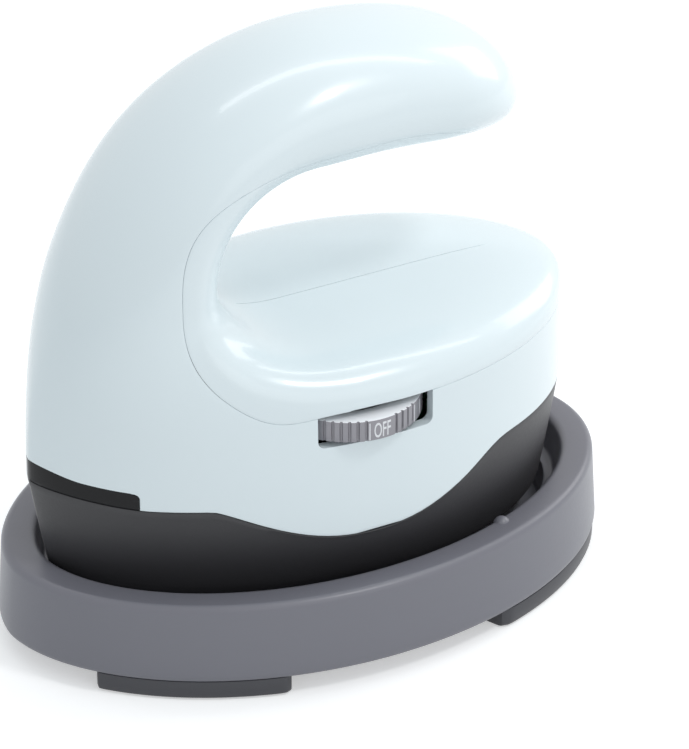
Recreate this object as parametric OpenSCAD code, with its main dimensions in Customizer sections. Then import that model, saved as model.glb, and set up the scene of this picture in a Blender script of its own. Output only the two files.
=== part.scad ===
// Mini handheld heat press, parked in its insulated safety base.
// Origin: centre of the base's footprint, on the surface that the feet stand on.
// X runs from the nose (-X) to the heel (+X), the dial is on the -Y side, Z is up.

/* [Body plan] */
// Nose of the body, ahead of the origin
nose_x = 65; // [63:0.1:66]
// Heel of the body, behind the origin
heel_x = 61.9; // [60:0.1:63]
// Half of the body's greatest breadth
half_w = 37; // [35.5:0.1:38]
// Place along X where the body is broadest
broad_x = 5; // [0:0.5:10]
// Fullness of the nose: 1 is straight-sided, 2 is elliptical
nose_full = 1.45; // [1.3:0.05:1.7]
// Fullness of the heel
heel_full = 1.9; // [1.5:0.05:2]
// Wall of the mouldings
wall = 2.4; // [2:0.1:2.8]

/* [Body heights] */
// Deck under the fingers
deck_z = 70.3; // [69:0.1:72]
// Depth of the deck's rounded shoulder, down to the seam
roll_h = 9.1; // [8.5:0.1:10]
// Fullness of that shoulder: 2 is round, more is flatter on top
roll_full = 7; // [5:0.5:9]
// Depth of that shoulder at the heel, where it is tighter
heel_roll = 5; // [4:0.1:9]
// Lower edge of the shell at nose and heel
edge_z = 40.4; // [39.5:0.1:41]
// Rise of that edge towards the nose
edge_rise = 1.9; // [1:0.1:2.5]
// Rise of that edge towards the heel
edge_heel = 2.0; // [1:0.1:2.5]
// Depth of the wave in that edge amidships
wave_h = 9.4; // [7:0.1:10]
// Place along X of the wave's lowest point
wave_x = -4.5; // [-7:0.5:-2]

/* [Handle] */
// Clear height between deck and handle
gap_h = 34.3; // [31:0.1:36]
// Thickness of the handle at its crown
grip_t = 28.4; // [25:0.1:30]
// Breadth of the handle
grip_w = 42.2; // [38:0.1:44]
// Breadth of the spine at half height
spine_w = 46.6; // [42:0.1:48]
// Fullness of the handle's back: 2 is elliptical
belly = 2.15; // [2:0.05:2.5]
// Centre of the inner bend along X
bend_x = -3.3; // [-6:0.1:-2]
// Reach of the inner bend ahead of its centre
bend_r = 21.1; // [19:0.1:22]
// Crown of the handle along X
crown_x = 6.5; // [5:0.5:9]
// End of the handle along X
tip_x = 50.7; // [48:0.1:54]
// Droop of the handle's underside towards its end
droop = 1.1; // [1:0.1:3]

/* [Dial] */
// Radius of the dial
dial_r = 16; // [15:0.1:16.5]
// Thickness of the dial
dial_t = 5; // [4.5:0.1:5.5]
// Dial's centre along X
dial_x = -0.8; // [-2:0.1:0.5]
// How far the dial stands out of the shell
dial_out = 2.5; // [1.5:0.1:3]
// Teeth round the whole dial
dial_teeth = 56; // [48:1:72]
// Depth of the hub under the dial
hub_h = 2.5; // [2:0.1:3]
// Gap between the hub and the switch
hub_gap = 1.5; // [1:0.1:2]
// Depth of a tooth
tooth_h = 0.5; // [0.3:0.05:0.7]
// Turn from one heat setting to the next
dial_step = 45; // [40:1:50]
// Angle at which the first lettered segment starts
plain_a = 257; // [250:1:262]
// Angle that a plain lettered segment takes
plain_w = 20; // [16:1:24]
// Radius of the dial's shaft
shaft_r = 3; // [2.5:0.1:3.5]

/* [Safety base] */
// Nose of the base
base_nose = 70.6; // [70:0.1:72]
// Heel of the base
base_heel = 70.6; // [70:0.1:72]
// Half of the base's breadth
base_half_w = 46.8; // [46:0.1:48]
// Height of the feet
foot_h = 4.5; // [4:0.1:5]
// Height of the base above its feet
base_h = 18.2; // [17.5:0.1:19]
// Breadth of the rim
rim_w = 7.5; // [7:0.1:8]
// Radius of the rim's edges
rim_r = 1.7; // [1:0.1:2.2]
// Floor of the base
base_floor = 3.5; // [3:0.1:4]
// Depth of the ledge below the rim
ledge_drop = 7.7; // [7:0.1:8.5]
// Breadth of the ledge
ledge_w = 3.0; // [2.5:0.1:4]

/* [Hot plate] */
// Gap between the plate's outline and the body's, all round
plate_in = 8.0; // [7.5:0.1:9]
// Thickness of the plate
plate_t = 5; // [4:0.1:5.5]
// Height of the plate's raised middle
plateau_t = 2; // [1.8:0.1:2.2]
// Radius of the heating tube
tube_r = 3; // [2.6:0.1:3.2]
// Half of the distance between the tube's legs
tube_y = 12; // [11:0.1:12.5]
// Height of the silicone pads that the plate parks on
pad_h = 2.5; // [2:0.1:3]

/* [Inside] */
// Taper of the lower housing, from its upper edge to its lower edge
taper = 4.3; // [3.5:0.1:4.8]
// Height of the circuit board's underside
board_z = 38; // [37:0.1:39]
// Thickness of circuit boards
board_t = 1.6; // [1:0.1:2]
// Radius of the shanks of M3 screws
screw_r = 1.5; // [1.4:0.05:1.6]
// Radius of the cord inlet's bore
cord_r = 3.1; // [2.8:0.1:3.4]

/* [Fits] */
// Radial clearance of the shaft in the switch
run_fit = 0.05; // [0.02:0.01:0.08]
// Radial clearance of screw shanks in through holes
hole_fit = 0.25; // [0.2:0.05:0.4]
// Gap between the housing's tongue and the shell
tongue_fit = 0.35; // [0.3:0.05:0.5]

/* [Hidden] */
$fn = 48;
base_n = 84;            // points round a plan outline
plate_z = foot_h + base_floor + pad_h;
top_z = plate_z + plate_t + plateau_t;      // top of the plate's raised middle
floor_z = top_z + 6.5;                      // underside of the housing's floor
floor_t = 2.5;
deck_in_z = floor_z + floor_t;              // inside of the housing's floor
skirt_z = top_z;                            // lower edge of the housing
dial_y = -(half_w + dial_out) + dial_r;
rim_z = foot_h + base_h;
chip_z = board_z + board_t;
boss_xy = [[32, 19], [32, -19], [-24, 20], [-24, -20]];
post_xy = [[-16, -27], [24, -27], [-16, 13], [24, 13]];
spacer_xy = [[-42, 0], [46, 0], [4, 22], [4, -22]];
led_xy = [[-46, 5], [-46, -5]];
clamp_xy = [[43, 9], [43, -9]];
seam_z = deck_z - roll_h + 0.11;
dial_z = seam_z - 6.7;
lip_h = 2.5;                                // height of the housing's tongue above its edge
inlet_room = seam_z - edge_z - edge_heel - lip_h;
cord_z = edge_z + edge_heel + lip_h + 0.408 * inlet_room;
flange_r = 0.366 * inlet_room;              // flange of the cord bushing
barrel_r = mix(cord_r, flange_r, 0.655);    // barrel of the cord bushing
under_z = deck_z + gap_h;
bend_z = deck_z + gap_h * 0.455;
crown_z = under_z + grip_t;
front_z = edge_z + 5.6; // where the front starts to lean back
front_a = crown_x + nose_x;
front_h = crown_z - front_z;
front_e = 1.97;
tip_z = under_z + 5.5;
loft_z = edge_z - wave_h - 3;

function mix(a, b, t) = a + (b - a) * t;
function smooth(t) = let (u = min(max(t, 0), 1)) u * u * (3 - 2 * u);
function root(v, e) = pow(max(v, 0), 1 / e);
function spow(v, e) = sign(v) * pow(abs(v), e);

// ---- plan outlines ----
// Point at angle a of the pointed egg that every horizontal outline follows
function egg(a, nose, heel, w, nf = nose_full, hf = heel_full, mid = broad_x) =
    let (c = cos(a), s = abs(sin(a)))
    c >= 0 ? [mid + (heel - mid) * c, w * spow(s, 2 / hf)]
           : [mid + (nose + mid) * c, w * spow(s, 2 / nf)];
// Half-breadth of the body's plan at x, drawn in by i
function plan_y(x, i = 0) =
    x < broad_x ? (half_w - i) * root(1 - pow((broad_x - x) / (broad_x + nose_x - i * 1.15), 2), nose_full)
                : (half_w - i) * root(1 - pow((x - broad_x) / (heel_x - i - broad_x), 2), heel_full);

// Closed solid through a list of rings that all have the same number of points
module skin(rings) {
    n = len(rings[0]);
    m = len(rings);
    sides = [for (j = [0 : m - 2], k = [0 : n - 1]) let (k2 = (k + 1) % n)
        each [[j * n + k, j * n + k2, (j + 1) * n + k2], [j * n + k, (j + 1) * n + k2, (j + 1) * n + k]]];
    ends = [[for (k = [n - 1 : -1 : 0]) k], [for (k = [0 : n - 1]) (m - 1) * n + k]];
    polyhedron([for (r = rings) each r], concat(sides, ends), convexity = 10);
}

// ---- the C-shaped body ----
// Front of the body at height z
function front_x(z, i = 0) =
    z <= front_z ? -nose_x + 1.15 * i
    : crown_x - (front_a - 1.15 * i) * root(1 - pow((z - front_z) / (front_h - i), front_e), front_e);
// Half-breadth of the outer hull at (x, z), as f turns from the deck (0) to the spine (0.5)
function hull_y(x, z, f, i) =
    let (s = smooth(2 * f) * smooth((z - front_z) / (bend_z - front_z)),
         w = mix(half_w, spine_w / 2, s) - i,
         xm = mix(broad_x, -bend_r + bend_x - 12, s),
         n = mix(nose_full, belly, s),
         xo = front_x(z, i))
    x < xm ? w * root(1 - pow((xm - x) / (xm - xo), 2), n) : w;

roll_k = 8;   // points round the inner roll
side_k = 7;   // points down a side
fan_k = 24;   // sections round the bend
corner_f = 0.27;

// Inner end of a section round the bend
function bend_in(f) =
    let (a = 270 - 180 * f, c = cos(a), s = sin(a), e = 2 / (s < 0 ? 2.6 : 2.2))
    [bend_x + bend_r * spow(c, e), bend_z + (s < 0 ? bend_z - deck_z : under_z - bend_z) * spow(s, e)];
// Outer end of a section round the bend
function bend_out(f, i, z0) =
    f <= corner_f ? [mix(bend_x, front_x(z0, i), f / corner_f), z0]
    : f <= 0.5 ? let (z = mix(z0, bend_z, (f - corner_f) / (0.5 - corner_f))) [front_x(z, i), z]
    : let (a0 = asin(pow((bend_z - front_z) / (front_h - i), front_e / 2)), a = mix(a0, 90, 2 * f - 1))
      [crown_x - (front_a - 1.15 * i) * pow(cos(a), 2 / front_e), front_z + (front_h - i) * pow(sin(a), 2 / front_e)];
// Depths at which a section is sampled
function depths(dm, a, len, n1, n2) =
    [for (k = [0 : n1]) dm * (1 - sqrt(max(0, 1 - pow(sin(90 * k / n1), a)))),
     for (k = [1 : n2]) dm + (len - dm) * (k == n2 ? 0.999 : sin(90 * k / n2))];

// Ring of a section from in to out: ys gives the half-breadth at each depth
function ring3(p, d, ts, ys) = [
    [p[0] + d[0] * ts[0], 0, p[1] + d[1] * ts[0]],
    for (k = [1 : len(ts) - 1]) [p[0] + d[0] * ts[k], -ys[k], p[1] + d[1] * ts[k]],
    for (k = [len(ts) - 1 : -1 : 1]) [p[0] + d[0] * ts[k], ys[k], p[1] + d[1] * ts[k]]];

// Section across the deck at x
function deck_ring(x, i, z0, n1, n2) =
    let (h = (x - broad_x) / (heel_x - i - broad_x), hn = max(h, 0), dm = mix(roll_h, heel_roll, hn * hn) - i,
         top = deck_z - i,
         q = [for (k = [0 : n1]) let (v = sin(90 * k / n1), r = mix(hn, 1, v)) 1 - sqrt(max(0, 1 - pow(r, roll_full)))],
         ts = [for (k = [0 : n1]) q[k] * dm, for (k = [1 : n2]) mix(dm, top - z0, k / n2)],
         ys = [for (k = [0 : n1]) let (r = root(1 - pow(1 - q[k], 2), roll_full))
                   x > broad_x ? (half_w - i) * r * root(1 - pow(min(h / max(r, 0.001), 1), 2), heel_full)
                               : plan_y(x, i) * r,
               for (k = [1 : n2]) plan_y(x, i)])
    ring3([x, top], [0, -1], ts, ys);
// Section round the bend
function bend_ring(f, i, z0, n1, n2) =
    let (p0 = bend_in(f), o = bend_out(f, i, z0), l0 = norm(o - p0), d = (o - p0) / l0,
         p = p0 + d * i, len = norm(o - p),
         s = smooth(2 * f),
         dm = (f < 0.5 ? mix(roll_h, 12, s) : mix(12, 13.6, 2 * f - 1)) - i,
         a = mix(roll_full, 2, s),
         ts = depths(dm, a, len, n1, n2),
         w = mix(spine_w, grip_w + 1, smooth(2 * f - 1)) / 2 - i,
         ys = [for (t = ts) let (x = p[0] + d[0] * t, z = p[1] + d[1] * t, r = t < dm ? root(1 - pow(1 - t / dm, 2), a) : 1)
                   r * (f <= 0.5 ? hull_y(x, z, f, i) : t < dm ? w : w * root(1 - pow((t - dm) / (len - dm), 2), belly))])
    ring3(p, d, ts, ys);
// Section across the handle, g from the bend (0) to the end (1)
low_x = tip_x - 9.8;
function grip_ring(g, i, n1, n2) =
    let (a = 90 * g, g1 = 0.62, tx = tip_x - i, rx = tx - low_x, rz = tip_z - (under_z - droop) - i,
         o = [crown_x + (tx - crown_x) * sin(a), tip_z + (crown_z - i - tip_z) * cos(a)],
         x = mix(bend_x, low_x, g / g1), b = 90 * (g - g1) / (1 - g1),
         p = g < g1 ? [x, under_z + i - droop * smooth((x - bend_x - 9) / 35)]
                    : [low_x + rx * sin(b), tip_z - rz * cos(b)],
         len = norm(o - p), d = (o - p) / len, dm = mix(13.6 - i, 0.47 * len, smooth(g * 3)),
         ts = depths(dm, 2, len, n1, n2),
         xm = (p[0] + o[0]) / 2, xc = 28,
         w = mix(grip_w + 1, grip_w, smooth(g * 3)) / 2 - i,
         we = xm > xc ? w * sqrt(max(0, 1 - pow((xm - xc) / (tx - xc), 2))) : w,
         ys = [for (t = ts) we * (t < dm ? sqrt(max(0, 1 - pow(1 - t / dm, 2))) : root(1 - pow((t - dm) / (len - dm), 2), belly))])
    ring3(p, d, ts, ys);

// The whole C-shaped form, drawn in by i; coarse is for the hidden inside
module c_form(i = 0, z0 = loft_z, n1 = roll_k, n2 = side_k, fine = 1) {
    heel = [for (a = fine == 1 ? [5, 11, 18, 26, 34, 43, 52, 61, 70, 80, 90] : [8, 25, 45, 70])
        deck_ring(broad_x + (heel_x - i - broad_x) * cos(a), i, z0, n1, n2)];
    bend = [for (k = [0 : 1 / fine : fan_k]) bend_ring(k / fan_k, i, z0, n1, n2)];
    grip = [for (g = fine == 1 ? [0.07, 0.15, 0.24, 0.34, 0.44, 0.53, 0.62, 0.7, 0.78, 0.85, 0.91, 0.96, 0.99] : [0.2, 0.45, 0.7, 0.9, 0.98])
        grip_ring(g, i, n1, n2)];
    skin(concat(heel, bend, grip));
}

// ---- pieces of the shells ----
// Height of the shell's lower edge at x
function edge_at(x) =
    edge_z + edge_rise * smooth((-x - 46) / 22) + edge_heel * smooth((x - 20) / 16)
    - wave_h * (x < wave_x ? smooth(pow(max(0, (x + 35.5) / (wave_x + 35.5)), 0.68))
                           : 1 - smooth(pow(max(0, (x - wave_x) / (33 - wave_x)), 1.5)));
strip_x = -48.7;        // end of the indicator strip
function strip_top(x) = edge_at(x) + 3.9 + 1.2 * smooth((-x - 58) / 8);
// Height of the seam between shell and inner cover, as a side view
seam_cx = bend_x - 1.7;
seam_cz = 87;
seam_rx = 34.4;
seam_dip = 2.2;         // how far the seam dips below the bend
function seam_side() = [
    [80, seam_z], [seam_cx, seam_z],
    for (a = [265 : -6 : 95]) let (c = cos(a), s = sin(a), e = 2 / 2.8)
        [seam_cx + seam_rx * spow(c, e), seam_cz + (s < 0 ? seam_cz - seam_z : under_z + 8 - seam_cz) * spow(s, e)
         - (s < 0 ? seam_dip * exp(-pow((seam_rx * spow(c, e) + 18) / 9, 2)) : 0)],
    [10, under_z + 8.5], [18, under_z + 8.1], [25, under_z + 6.9], [31, under_z + 5],
    [37.5, under_z + 3], [44, under_z + 2.9], [80, under_z + 2.9]];
// A side view (x, z), stretched across the body from y0 to y1
module across(pts, y0 = -60, y1 = 60) {
    translate([0, y1, 0]) rotate([90, 0, 0]) linear_extrude(y1 - y0) polygon(pts);
}
// Everything below the wavy edge, raised by lift
module wave_cut(lift = 0, z0 = 0) {
    xs = [-72, -66, -62, -57, -52, -46, -36, -33, -30, -27, -24, -21, -18, -15, -12, -9, -5, 0, 4, 8, 12,
          16, 20, 23, 26, 29, 32, 35, 40, 50, 72];
    for (k = [0 : len(xs) - 2])
        hull() for (j = [k, k + 1])
            translate([xs[j], -60, z0]) cube([0.01, 120, edge_at(xs[j]) + lift - z0]);
}
// Side view of the indicator strip, grown by g
module strip_band(g = 0, low = 0) {
    xs = [-70, -65.5, -63.5, -61, -58, -55, -52];
    across([for (x = xs) [x, edge_at(x) - low], [strip_x + g, edge_at(strip_x) - low],
            [strip_x + g, strip_top(strip_x) - 1.2], [strip_x - 0.4 + g, strip_top(strip_x) - 0.4 + g],
            [strip_x - 1.2, strip_top(strip_x) + g],
            for (k = [len(xs) - 1 : -1 : 0]) [xs[k], strip_top(xs[k]) + g]]);
}
// Window for the dial, as a side view
module dial_window(g = 0) {
    across([[-14.1 - g, seam_z], [-14.1 - g, seam_z - 6.4], [-13.7 - g, seam_z - 7.4 - g], [-12.6 - g, seam_z - 7.9 - g],
            [11.1 + g, seam_z - 7.9 - g], [12.2 + g, seam_z - 7.4 - g], [12.6 + g, seam_z - 6.4], [12.6 + g, seam_z]], -60, -26);
}
module inner_form(i = wall) { c_form(i, loft_z - 1, 4, 4, 0.5); }

module handle_shell() {
    color("lightcyan") difference() {
        union() {
            difference() {
                c_form();
                inner_form();
            }
            // Ribs that stiffen the side walls and carry the cover's ledge
            intersection() {
                c_form(1, loft_z - 6);
                union() for (x = [-30, 22, 40], y = [-1, 1])
                    hull() {
                        translate([x, y * (plan_y(x) - 1.2), deck_in_z + 22]) cylinder(r = 1, h = 7, $fn = 16);
                        translate([x, y * (plan_y(x) - 4.2), deck_in_z + 26]) cylinder(r = 1, h = 3, $fn = 16);
                    }
            }
        }
        wave_cut();
        // Rebate for the housing's tongue
        translate([0, 0, loft_z - 1]) linear_extrude(front_z - loft_z + 0.6) plan(wall - 0.12);
        across(seam_side());
        strip_band(0, 2);
        dial_window();
        // Cord inlet at the back of the heel
        translate([heel_x - 10, 0, cord_z]) rotate([0, 90, 0]) cylinder(r = barrel_r + 0.15, h = 20);
    }
}

module inner_cover() {
    color("azure") difference() {
        union() {
            intersection() {
                difference() {
                    c_form();
                    inner_form();
                }
                across(seam_side());
            }
            // Screw bosses down to the housing floor, with gussets under the deck
            intersection() {
                c_form(1.2, loft_z - 6);
                union() for (p = boss_xy) {
                    translate([p[0], p[1], deck_in_z]) cylinder(r = 3.4, h = deck_z + 7.9 - deck_in_z, $fn = 32);
                    for (a = [0, 120, 240]) hull() {
                        translate([p[0], p[1], seam_z - 4]) cylinder(r = 0.7, h = 12, $fn = 12);
                        translate([p[0] + 7 * cos(a + 60), p[1] + 7 * sin(a + 60), seam_z + 5]) cylinder(r = 0.7, h = 3, $fn = 12);
                    }
                }
            }
        }
        for (p = boss_xy) translate([p[0], p[1], deck_in_z - 1]) cylinder(r = screw_r + 0.04, h = 13, $fn = 32);
    }
}

// Ring of the lower housing: inset i, blended from the flat height z (t = 0) to the wavy edge (t = 1)
function house_ring(t, i, z, dz = 0, lip = 0) =
    [for (k = [0 : base_n - 1]) let (q = egg_at(-360 * k / base_n, i), x = q[0])
        [x, q[1], mix(z, edge_at(x) + dz + (lip > 0 ? lip * smooth((x + 48.5) / 2) : 0), t)]];
// Point of the body's plan outline, drawn in by i
function egg_at(a, i) = let (s = sin(a) < 0 ? -1 : 1, p = egg(a, nose_x - 1.15 * i, heel_x - i, half_w - i)) [p[0], s * p[1]];

module lower_housing() {
    tongue = wall + tongue_fit;
    color("dimgray") difference() {
        union() {
            skin([
                house_ring(0, taper + 2.2, floor_z),
                house_ring(0, taper + 2.2, skirt_z),
                house_ring(0, taper, skirt_z),
                house_ring(0.33, taper * 0.7, skirt_z),
                house_ring(0.66, taper * 0.36, skirt_z),
                house_ring(1, 0.12, skirt_z, -0.25),
                house_ring(1, tongue, skirt_z, -0.25),
                house_ring(1, tongue, skirt_z, 0, lip_h),
                house_ring(1, tongue + 1.1, skirt_z, 0, lip_h),
                house_ring(0.5, taper * 0.6 + 2.6, skirt_z),
                house_ring(0, taper + 2.2, deck_in_z)]);
            // Posts for the two boards and the cord clamp, with gussets
            for (p = post_xy) post(p, board_z);
            for (p = led_xy) post(p, 41, [100, 260]);
            for (p = clamp_xy) post(p, 44);
        }
        for (p = boss_xy) translate([p[0], p[1], floor_z - 1]) {
            cylinder(r = screw_r + hole_fit, h = 9, $fn = 24);
            cylinder(r = 3.1, h = 2, $fn = 32);
        }
        for (p = spacer_xy) translate([p[0], p[1], floor_z - 1]) cylinder(r = screw_r + hole_fit, h = 9, $fn = 24);
        for (p = post_xy) translate([p[0], p[1], board_z - 7]) cylinder(r = 1.14, h = 9, $fn = 32);
        for (p = led_xy) translate([p[0], p[1], 35]) cylinder(r = 1.14, h = 9, $fn = 32);
        for (p = clamp_xy) translate([p[0], p[1], 36]) cylinder(r = 1.14, h = 9, $fn = 32);
        // Way through the floor for the leads
        translate([48.5, -8, floor_z - 1]) cube([4, 16, floor_t + 2]);
    }
}
module post(p, z, turn = [45, 225]) {
    translate([p[0], p[1], deck_in_z - 0.5]) cylinder(r = 2.8, h = z - deck_in_z + 0.5, $fn = 32);
    for (a = turn) hull() {
        translate([p[0], p[1], deck_in_z - 0.5]) cylinder(r = 0.6, h = 7, $fn = 12);
        translate([p[0] + 5 * cos(a), p[1] + 5 * sin(a), deck_in_z - 0.5]) cylinder(r = 0.6, h = 1.5, $fn = 12);
    }
}

module indicator_window() {
    color("black") intersection() {
        difference() {
            c_form();
            c_form(1.6, loft_z - 1, 4, 4, 0.5);
        }
        strip_band();
        // Rounded lower corners at the ends of the strip
        union() for (x = [-69, -66, -63, -60, -57, -54, -51.5, -49.8])
            hull() for (d = [0, 1.0]) translate([x - 2.4 + d, -40, 36]) cube([2.4, 80, 16]);
    }
}
module light_guide() {
    color("whitesmoke") intersection() {
        difference() {
            c_form(1.6, loft_z - 1, 4, 4, 0.5);
            c_form(3.4, loft_z - 2, 4, 4, 0.5);
        }
        across([[-70, 43.2], [-61, 41.9], [-51, 40.9], [-51, 43.4], [-58, 44], [-70, 45.4]]);
        union() for (x = [-69, -66.5, -64, -61.5, -59, -56.5, -54, -52])
            hull() for (d = [0, 0.5]) translate([x - 2.1 + d, -40, 36]) cube([2.1, 80, 16]);
    }
}

// ---- safety base ----
// Point of the base's plan outline, drawn in by i
function base_at(a, i) =
    let (s = sin(a) < 0 ? -1 : 1, nf = mix(1.78, 1.84, min(i / rim_w, 1)),
         p = egg(a, base_nose - 1.1 * i, base_heel - i, base_half_w - i, nf, 1.94, 0))
    [p[0], s * p[1]];
function base_ring(i, z) = [for (k = [0 : base_n - 1]) let (q = base_at(-360 * k / base_n, i)) [q[0], q[1], z]];
module base_tray() {
    well = rim_w + 0.9 + ledge_w;
    ledge_z = rim_z - ledge_drop;
    floor_top = foot_h + base_floor;
    color("slategray") union() {
        skin([
            base_ring(0.7, foot_h),
            base_ring(0.1, foot_h + 0.7),
            base_ring(0, foot_h + 1.6),
            base_ring(0.8, rim_z - rim_r),
            base_ring(0.8 + rim_r * 0.13, rim_z - rim_r * 0.5),
            base_ring(0.8 + rim_r * 0.5, rim_z - rim_r * 0.13),
            base_ring(0.8 + rim_r, rim_z),
            base_ring(0.8 + rim_w - rim_r, rim_z),
            base_ring(0.8 + rim_w - rim_r * 0.4, rim_z - rim_r * 0.15),
            base_ring(0.8 + rim_w, rim_z - rim_r),
            base_ring(1.6 + rim_w, ledge_z + 1),
            base_ring(2.6 + rim_w, ledge_z),
            base_ring(well, ledge_z),
            base_ring(well + 0.6, ledge_z - 0.5),
            base_ring(well + 1.2, floor_top)]);
        // Locating ribs inside the rim
        for (y = [-1, 1]) hull() {
            translate([31, y * 34.9, rim_z - 1.0]) sphere(r = 1.9, $fn = 20);
            translate([31, y * 35.9, ledge_z - 0.3]) cylinder(r = 2.2, h = 1, $fn = 20);
        }
        // Gussets between ledge and floor
        for (a = [32, 62, 90, 118, 148], s = [-1, 1]) let (q = base_at(s * a, well), d = [q[0], q[1]] / norm(q))
            hull() {
                translate([q[0] + d[0], q[1] + d[1], floor_top - 0.5]) cylinder(r = 0.8, h = ledge_z - floor_top, $fn = 12);
                translate([q[0] - 3.2 * d[0], q[1] - 3.2 * d[1], floor_top - 0.5]) cylinder(r = 0.8, h = 1, $fn = 12);
            }
    }
}
// Curved strip along the base's outline between angles a0 and a1
module arc_strip(a0, a1, i0, i1) {
    n = 10;
    polygon(concat([for (k = [0 : n]) base_at(mix(a0, a1, k / n), i0)],
                   [for (k = [n : -1 : 0]) base_at(mix(a0, a1, k / n), i1)]));
}
module rubber_feet() {
    color("#222426") for (s = [-1, 1], r = [[18, 66.5], [110.8, 150.5]]) {
        translate([0, 0, 0.6]) linear_extrude(foot_h - 0.6) arc_strip(s * r[0], s * r[1], 0.5, 11);
        linear_extrude(0.6) arc_strip(s * (r[0] + 0.6), s * (r[1] - 0.6), 0.9, 10.4);
    }
}
module rest_pads() {
    color("firebrick") for (p = [[-30, 0], [30, 0], [0, 17], [0, -17]]) translate([p[0], p[1], foot_h + base_floor]) {
        cylinder(r = 5, h = pad_h - 0.5, $fn = 32);
        translate([0, 0, pad_h - 0.5]) cylinder(r = 4.5, h = 0.5, $fn = 32);
    }
}

// ---- hot plate ----
module plan(i) { polygon([for (k = [0 : 59]) egg_at(6 * k, i)]); }
tube_x0 = -20;
tube_x1 = 38;
module tube_run(r) {
    z = top_z;
    for (y = [-tube_y, tube_y]) translate([tube_x0, y, z]) rotate([0, 90, 0]) cylinder(r = r, h = tube_x1 - tube_x0, $fn = 32);
    translate([tube_x0, 0, z]) rotate([0, 0, 90]) rotate_extrude(angle = 180, $fn = 48) translate([tube_y, 0]) circle(r = r, $fn = 32);
}
module soleplate() {
    color("silver") difference() {
        union() {
            translate([0, 0, plate_z]) linear_extrude(0.5) plan(plate_in + 0.5);
            translate([0, 0, plate_z + 0.5]) linear_extrude(plate_t - 0.5) plan(plate_in);
            translate([0, 0, plate_z + plate_t]) linear_extrude(plateau_t) plan(plate_in + 2.4);
        }
        tube_run(tube_r);
        for (y = [-tube_y, tube_y]) translate([tube_x1 - 1, y, top_z]) rotate([0, 90, 0]) cylinder(r = 2.4, h = 20, $fn = 32);
        for (p = spacer_xy) translate([p[0], p[1], top_z - 5]) cylinder(r = screw_r, h = 6, $fn = 32);
    }
}
module heating_element() {
    color("gray") {
        tube_run(tube_r);
        for (y = [-tube_y, tube_y]) translate([tube_x1, y, top_z]) rotate([0, 90, 0]) {
            cylinder(r = 2, h = 1.5, $fn = 24);
            cylinder(r = 1.1, h = 8, $fn = 24);
        }
    }
}
module temperature_sensor() {
    color("goldenrod") translate([-14, 0, top_z + 1.3]) rotate([0, 90, 0]) cylinder(r = 1.3, h = 10, $fn = 24);
}
module sensor_clip() {
    color("lightsteelblue") difference() {
        translate([-11, 0, top_z]) union() {
            translate([0, -6, 0]) cube([4, 12, 0.4]);
            translate([0, 0, 1.3]) rotate([0, 90, 0]) cylinder(r = 1.7, h = 4, $fn = 24);
        }
        translate([-12, 0, top_z + 1.3]) rotate([0, 90, 0]) cylinder(r = 1.3, h = 6, $fn = 24);
        translate([-12, -1.3, top_z - 1]) cube([6, 2.6, 2.3]);
        translate([-12, -7, top_z - 1]) cube([6, 14, 1]);
    }
}
module thermal_fuse() {
    color("tan") translate([14, 0, top_z + 1.4]) rotate([0, 90, 0]) {
        cylinder(r = 1.4, h = 11, $fn = 24);
        translate([0, 0, -6]) cylinder(r = 0.4, h = 23, $fn = 16);
    }
}
module near_plate_holes(r, z, h) {
    for (p = spacer_xy) translate([p[0], p[1], z]) cylinder(r = r, h = h, $fn = 32);
}
module insulation_pad() {
    color("ivory") translate([0, 0, top_z + tube_r]) difference() {
        linear_extrude(2.8) plan(plate_in + 2.2);
        near_plate_holes(3.3, -1, 5);
        for (p = boss_xy) translate([p[0], p[1], -1]) cylinder(r = 3.5, h = 5, $fn = 32);
        translate([45, -20, -1]) cube([20, 40, 5]);
    }
}
module heat_shield() {
    color("lightsteelblue") translate([0, 0, top_z + tube_r + 2.8]) difference() {
        linear_extrude(0.7) plan(plate_in + 1.6);
        near_plate_holes(3.2, -1, 3);
        for (p = boss_xy) translate([p[0], p[1], -1]) cylinder(r = 3.5, h = 5, $fn = 32);
        translate([47.8, -12, -1]) cube([20, 24, 3]);
    }
}
module standoffs() {
    color("whitesmoke") for (p = spacer_xy) translate([p[0], p[1], top_z]) difference() {
        cylinder(r = 3, h = floor_z - top_z, $fn = 32);
        translate([0, 0, -1]) cylinder(r = screw_r + hole_fit, h = 10, $fn = 32);
    }
}
// Pan-head screw with its seat at the origin and its shank along -Z
module screw(r, len, head_r, head_h) {
    difference() {
        union() {
            cylinder(r = head_r, h = head_h, $fn = 32);
            translate([0, 0, -len]) cylinder(r = r, h = len, $fn = 32);
        }
        for (a = [0, 90]) rotate([0, 0, a]) translate([-head_r * 0.6, -0.3, head_h - 0.7]) cube([head_r * 1.2, 0.6, 1]);
    }
}
module soleplate_screws() {
    color("silver") for (p = spacer_xy) translate([p[0], p[1], deck_in_z]) screw(screw_r, floor_t + floor_z - top_z + 4.5, 2.8, 1.8);
}
module housing_screws() {
    color("silver") for (p = boss_xy) translate([p[0], p[1], floor_z + 1]) rotate([180, 0, 0]) screw(screw_r, 12, 2.8, 1.7);
}

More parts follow.
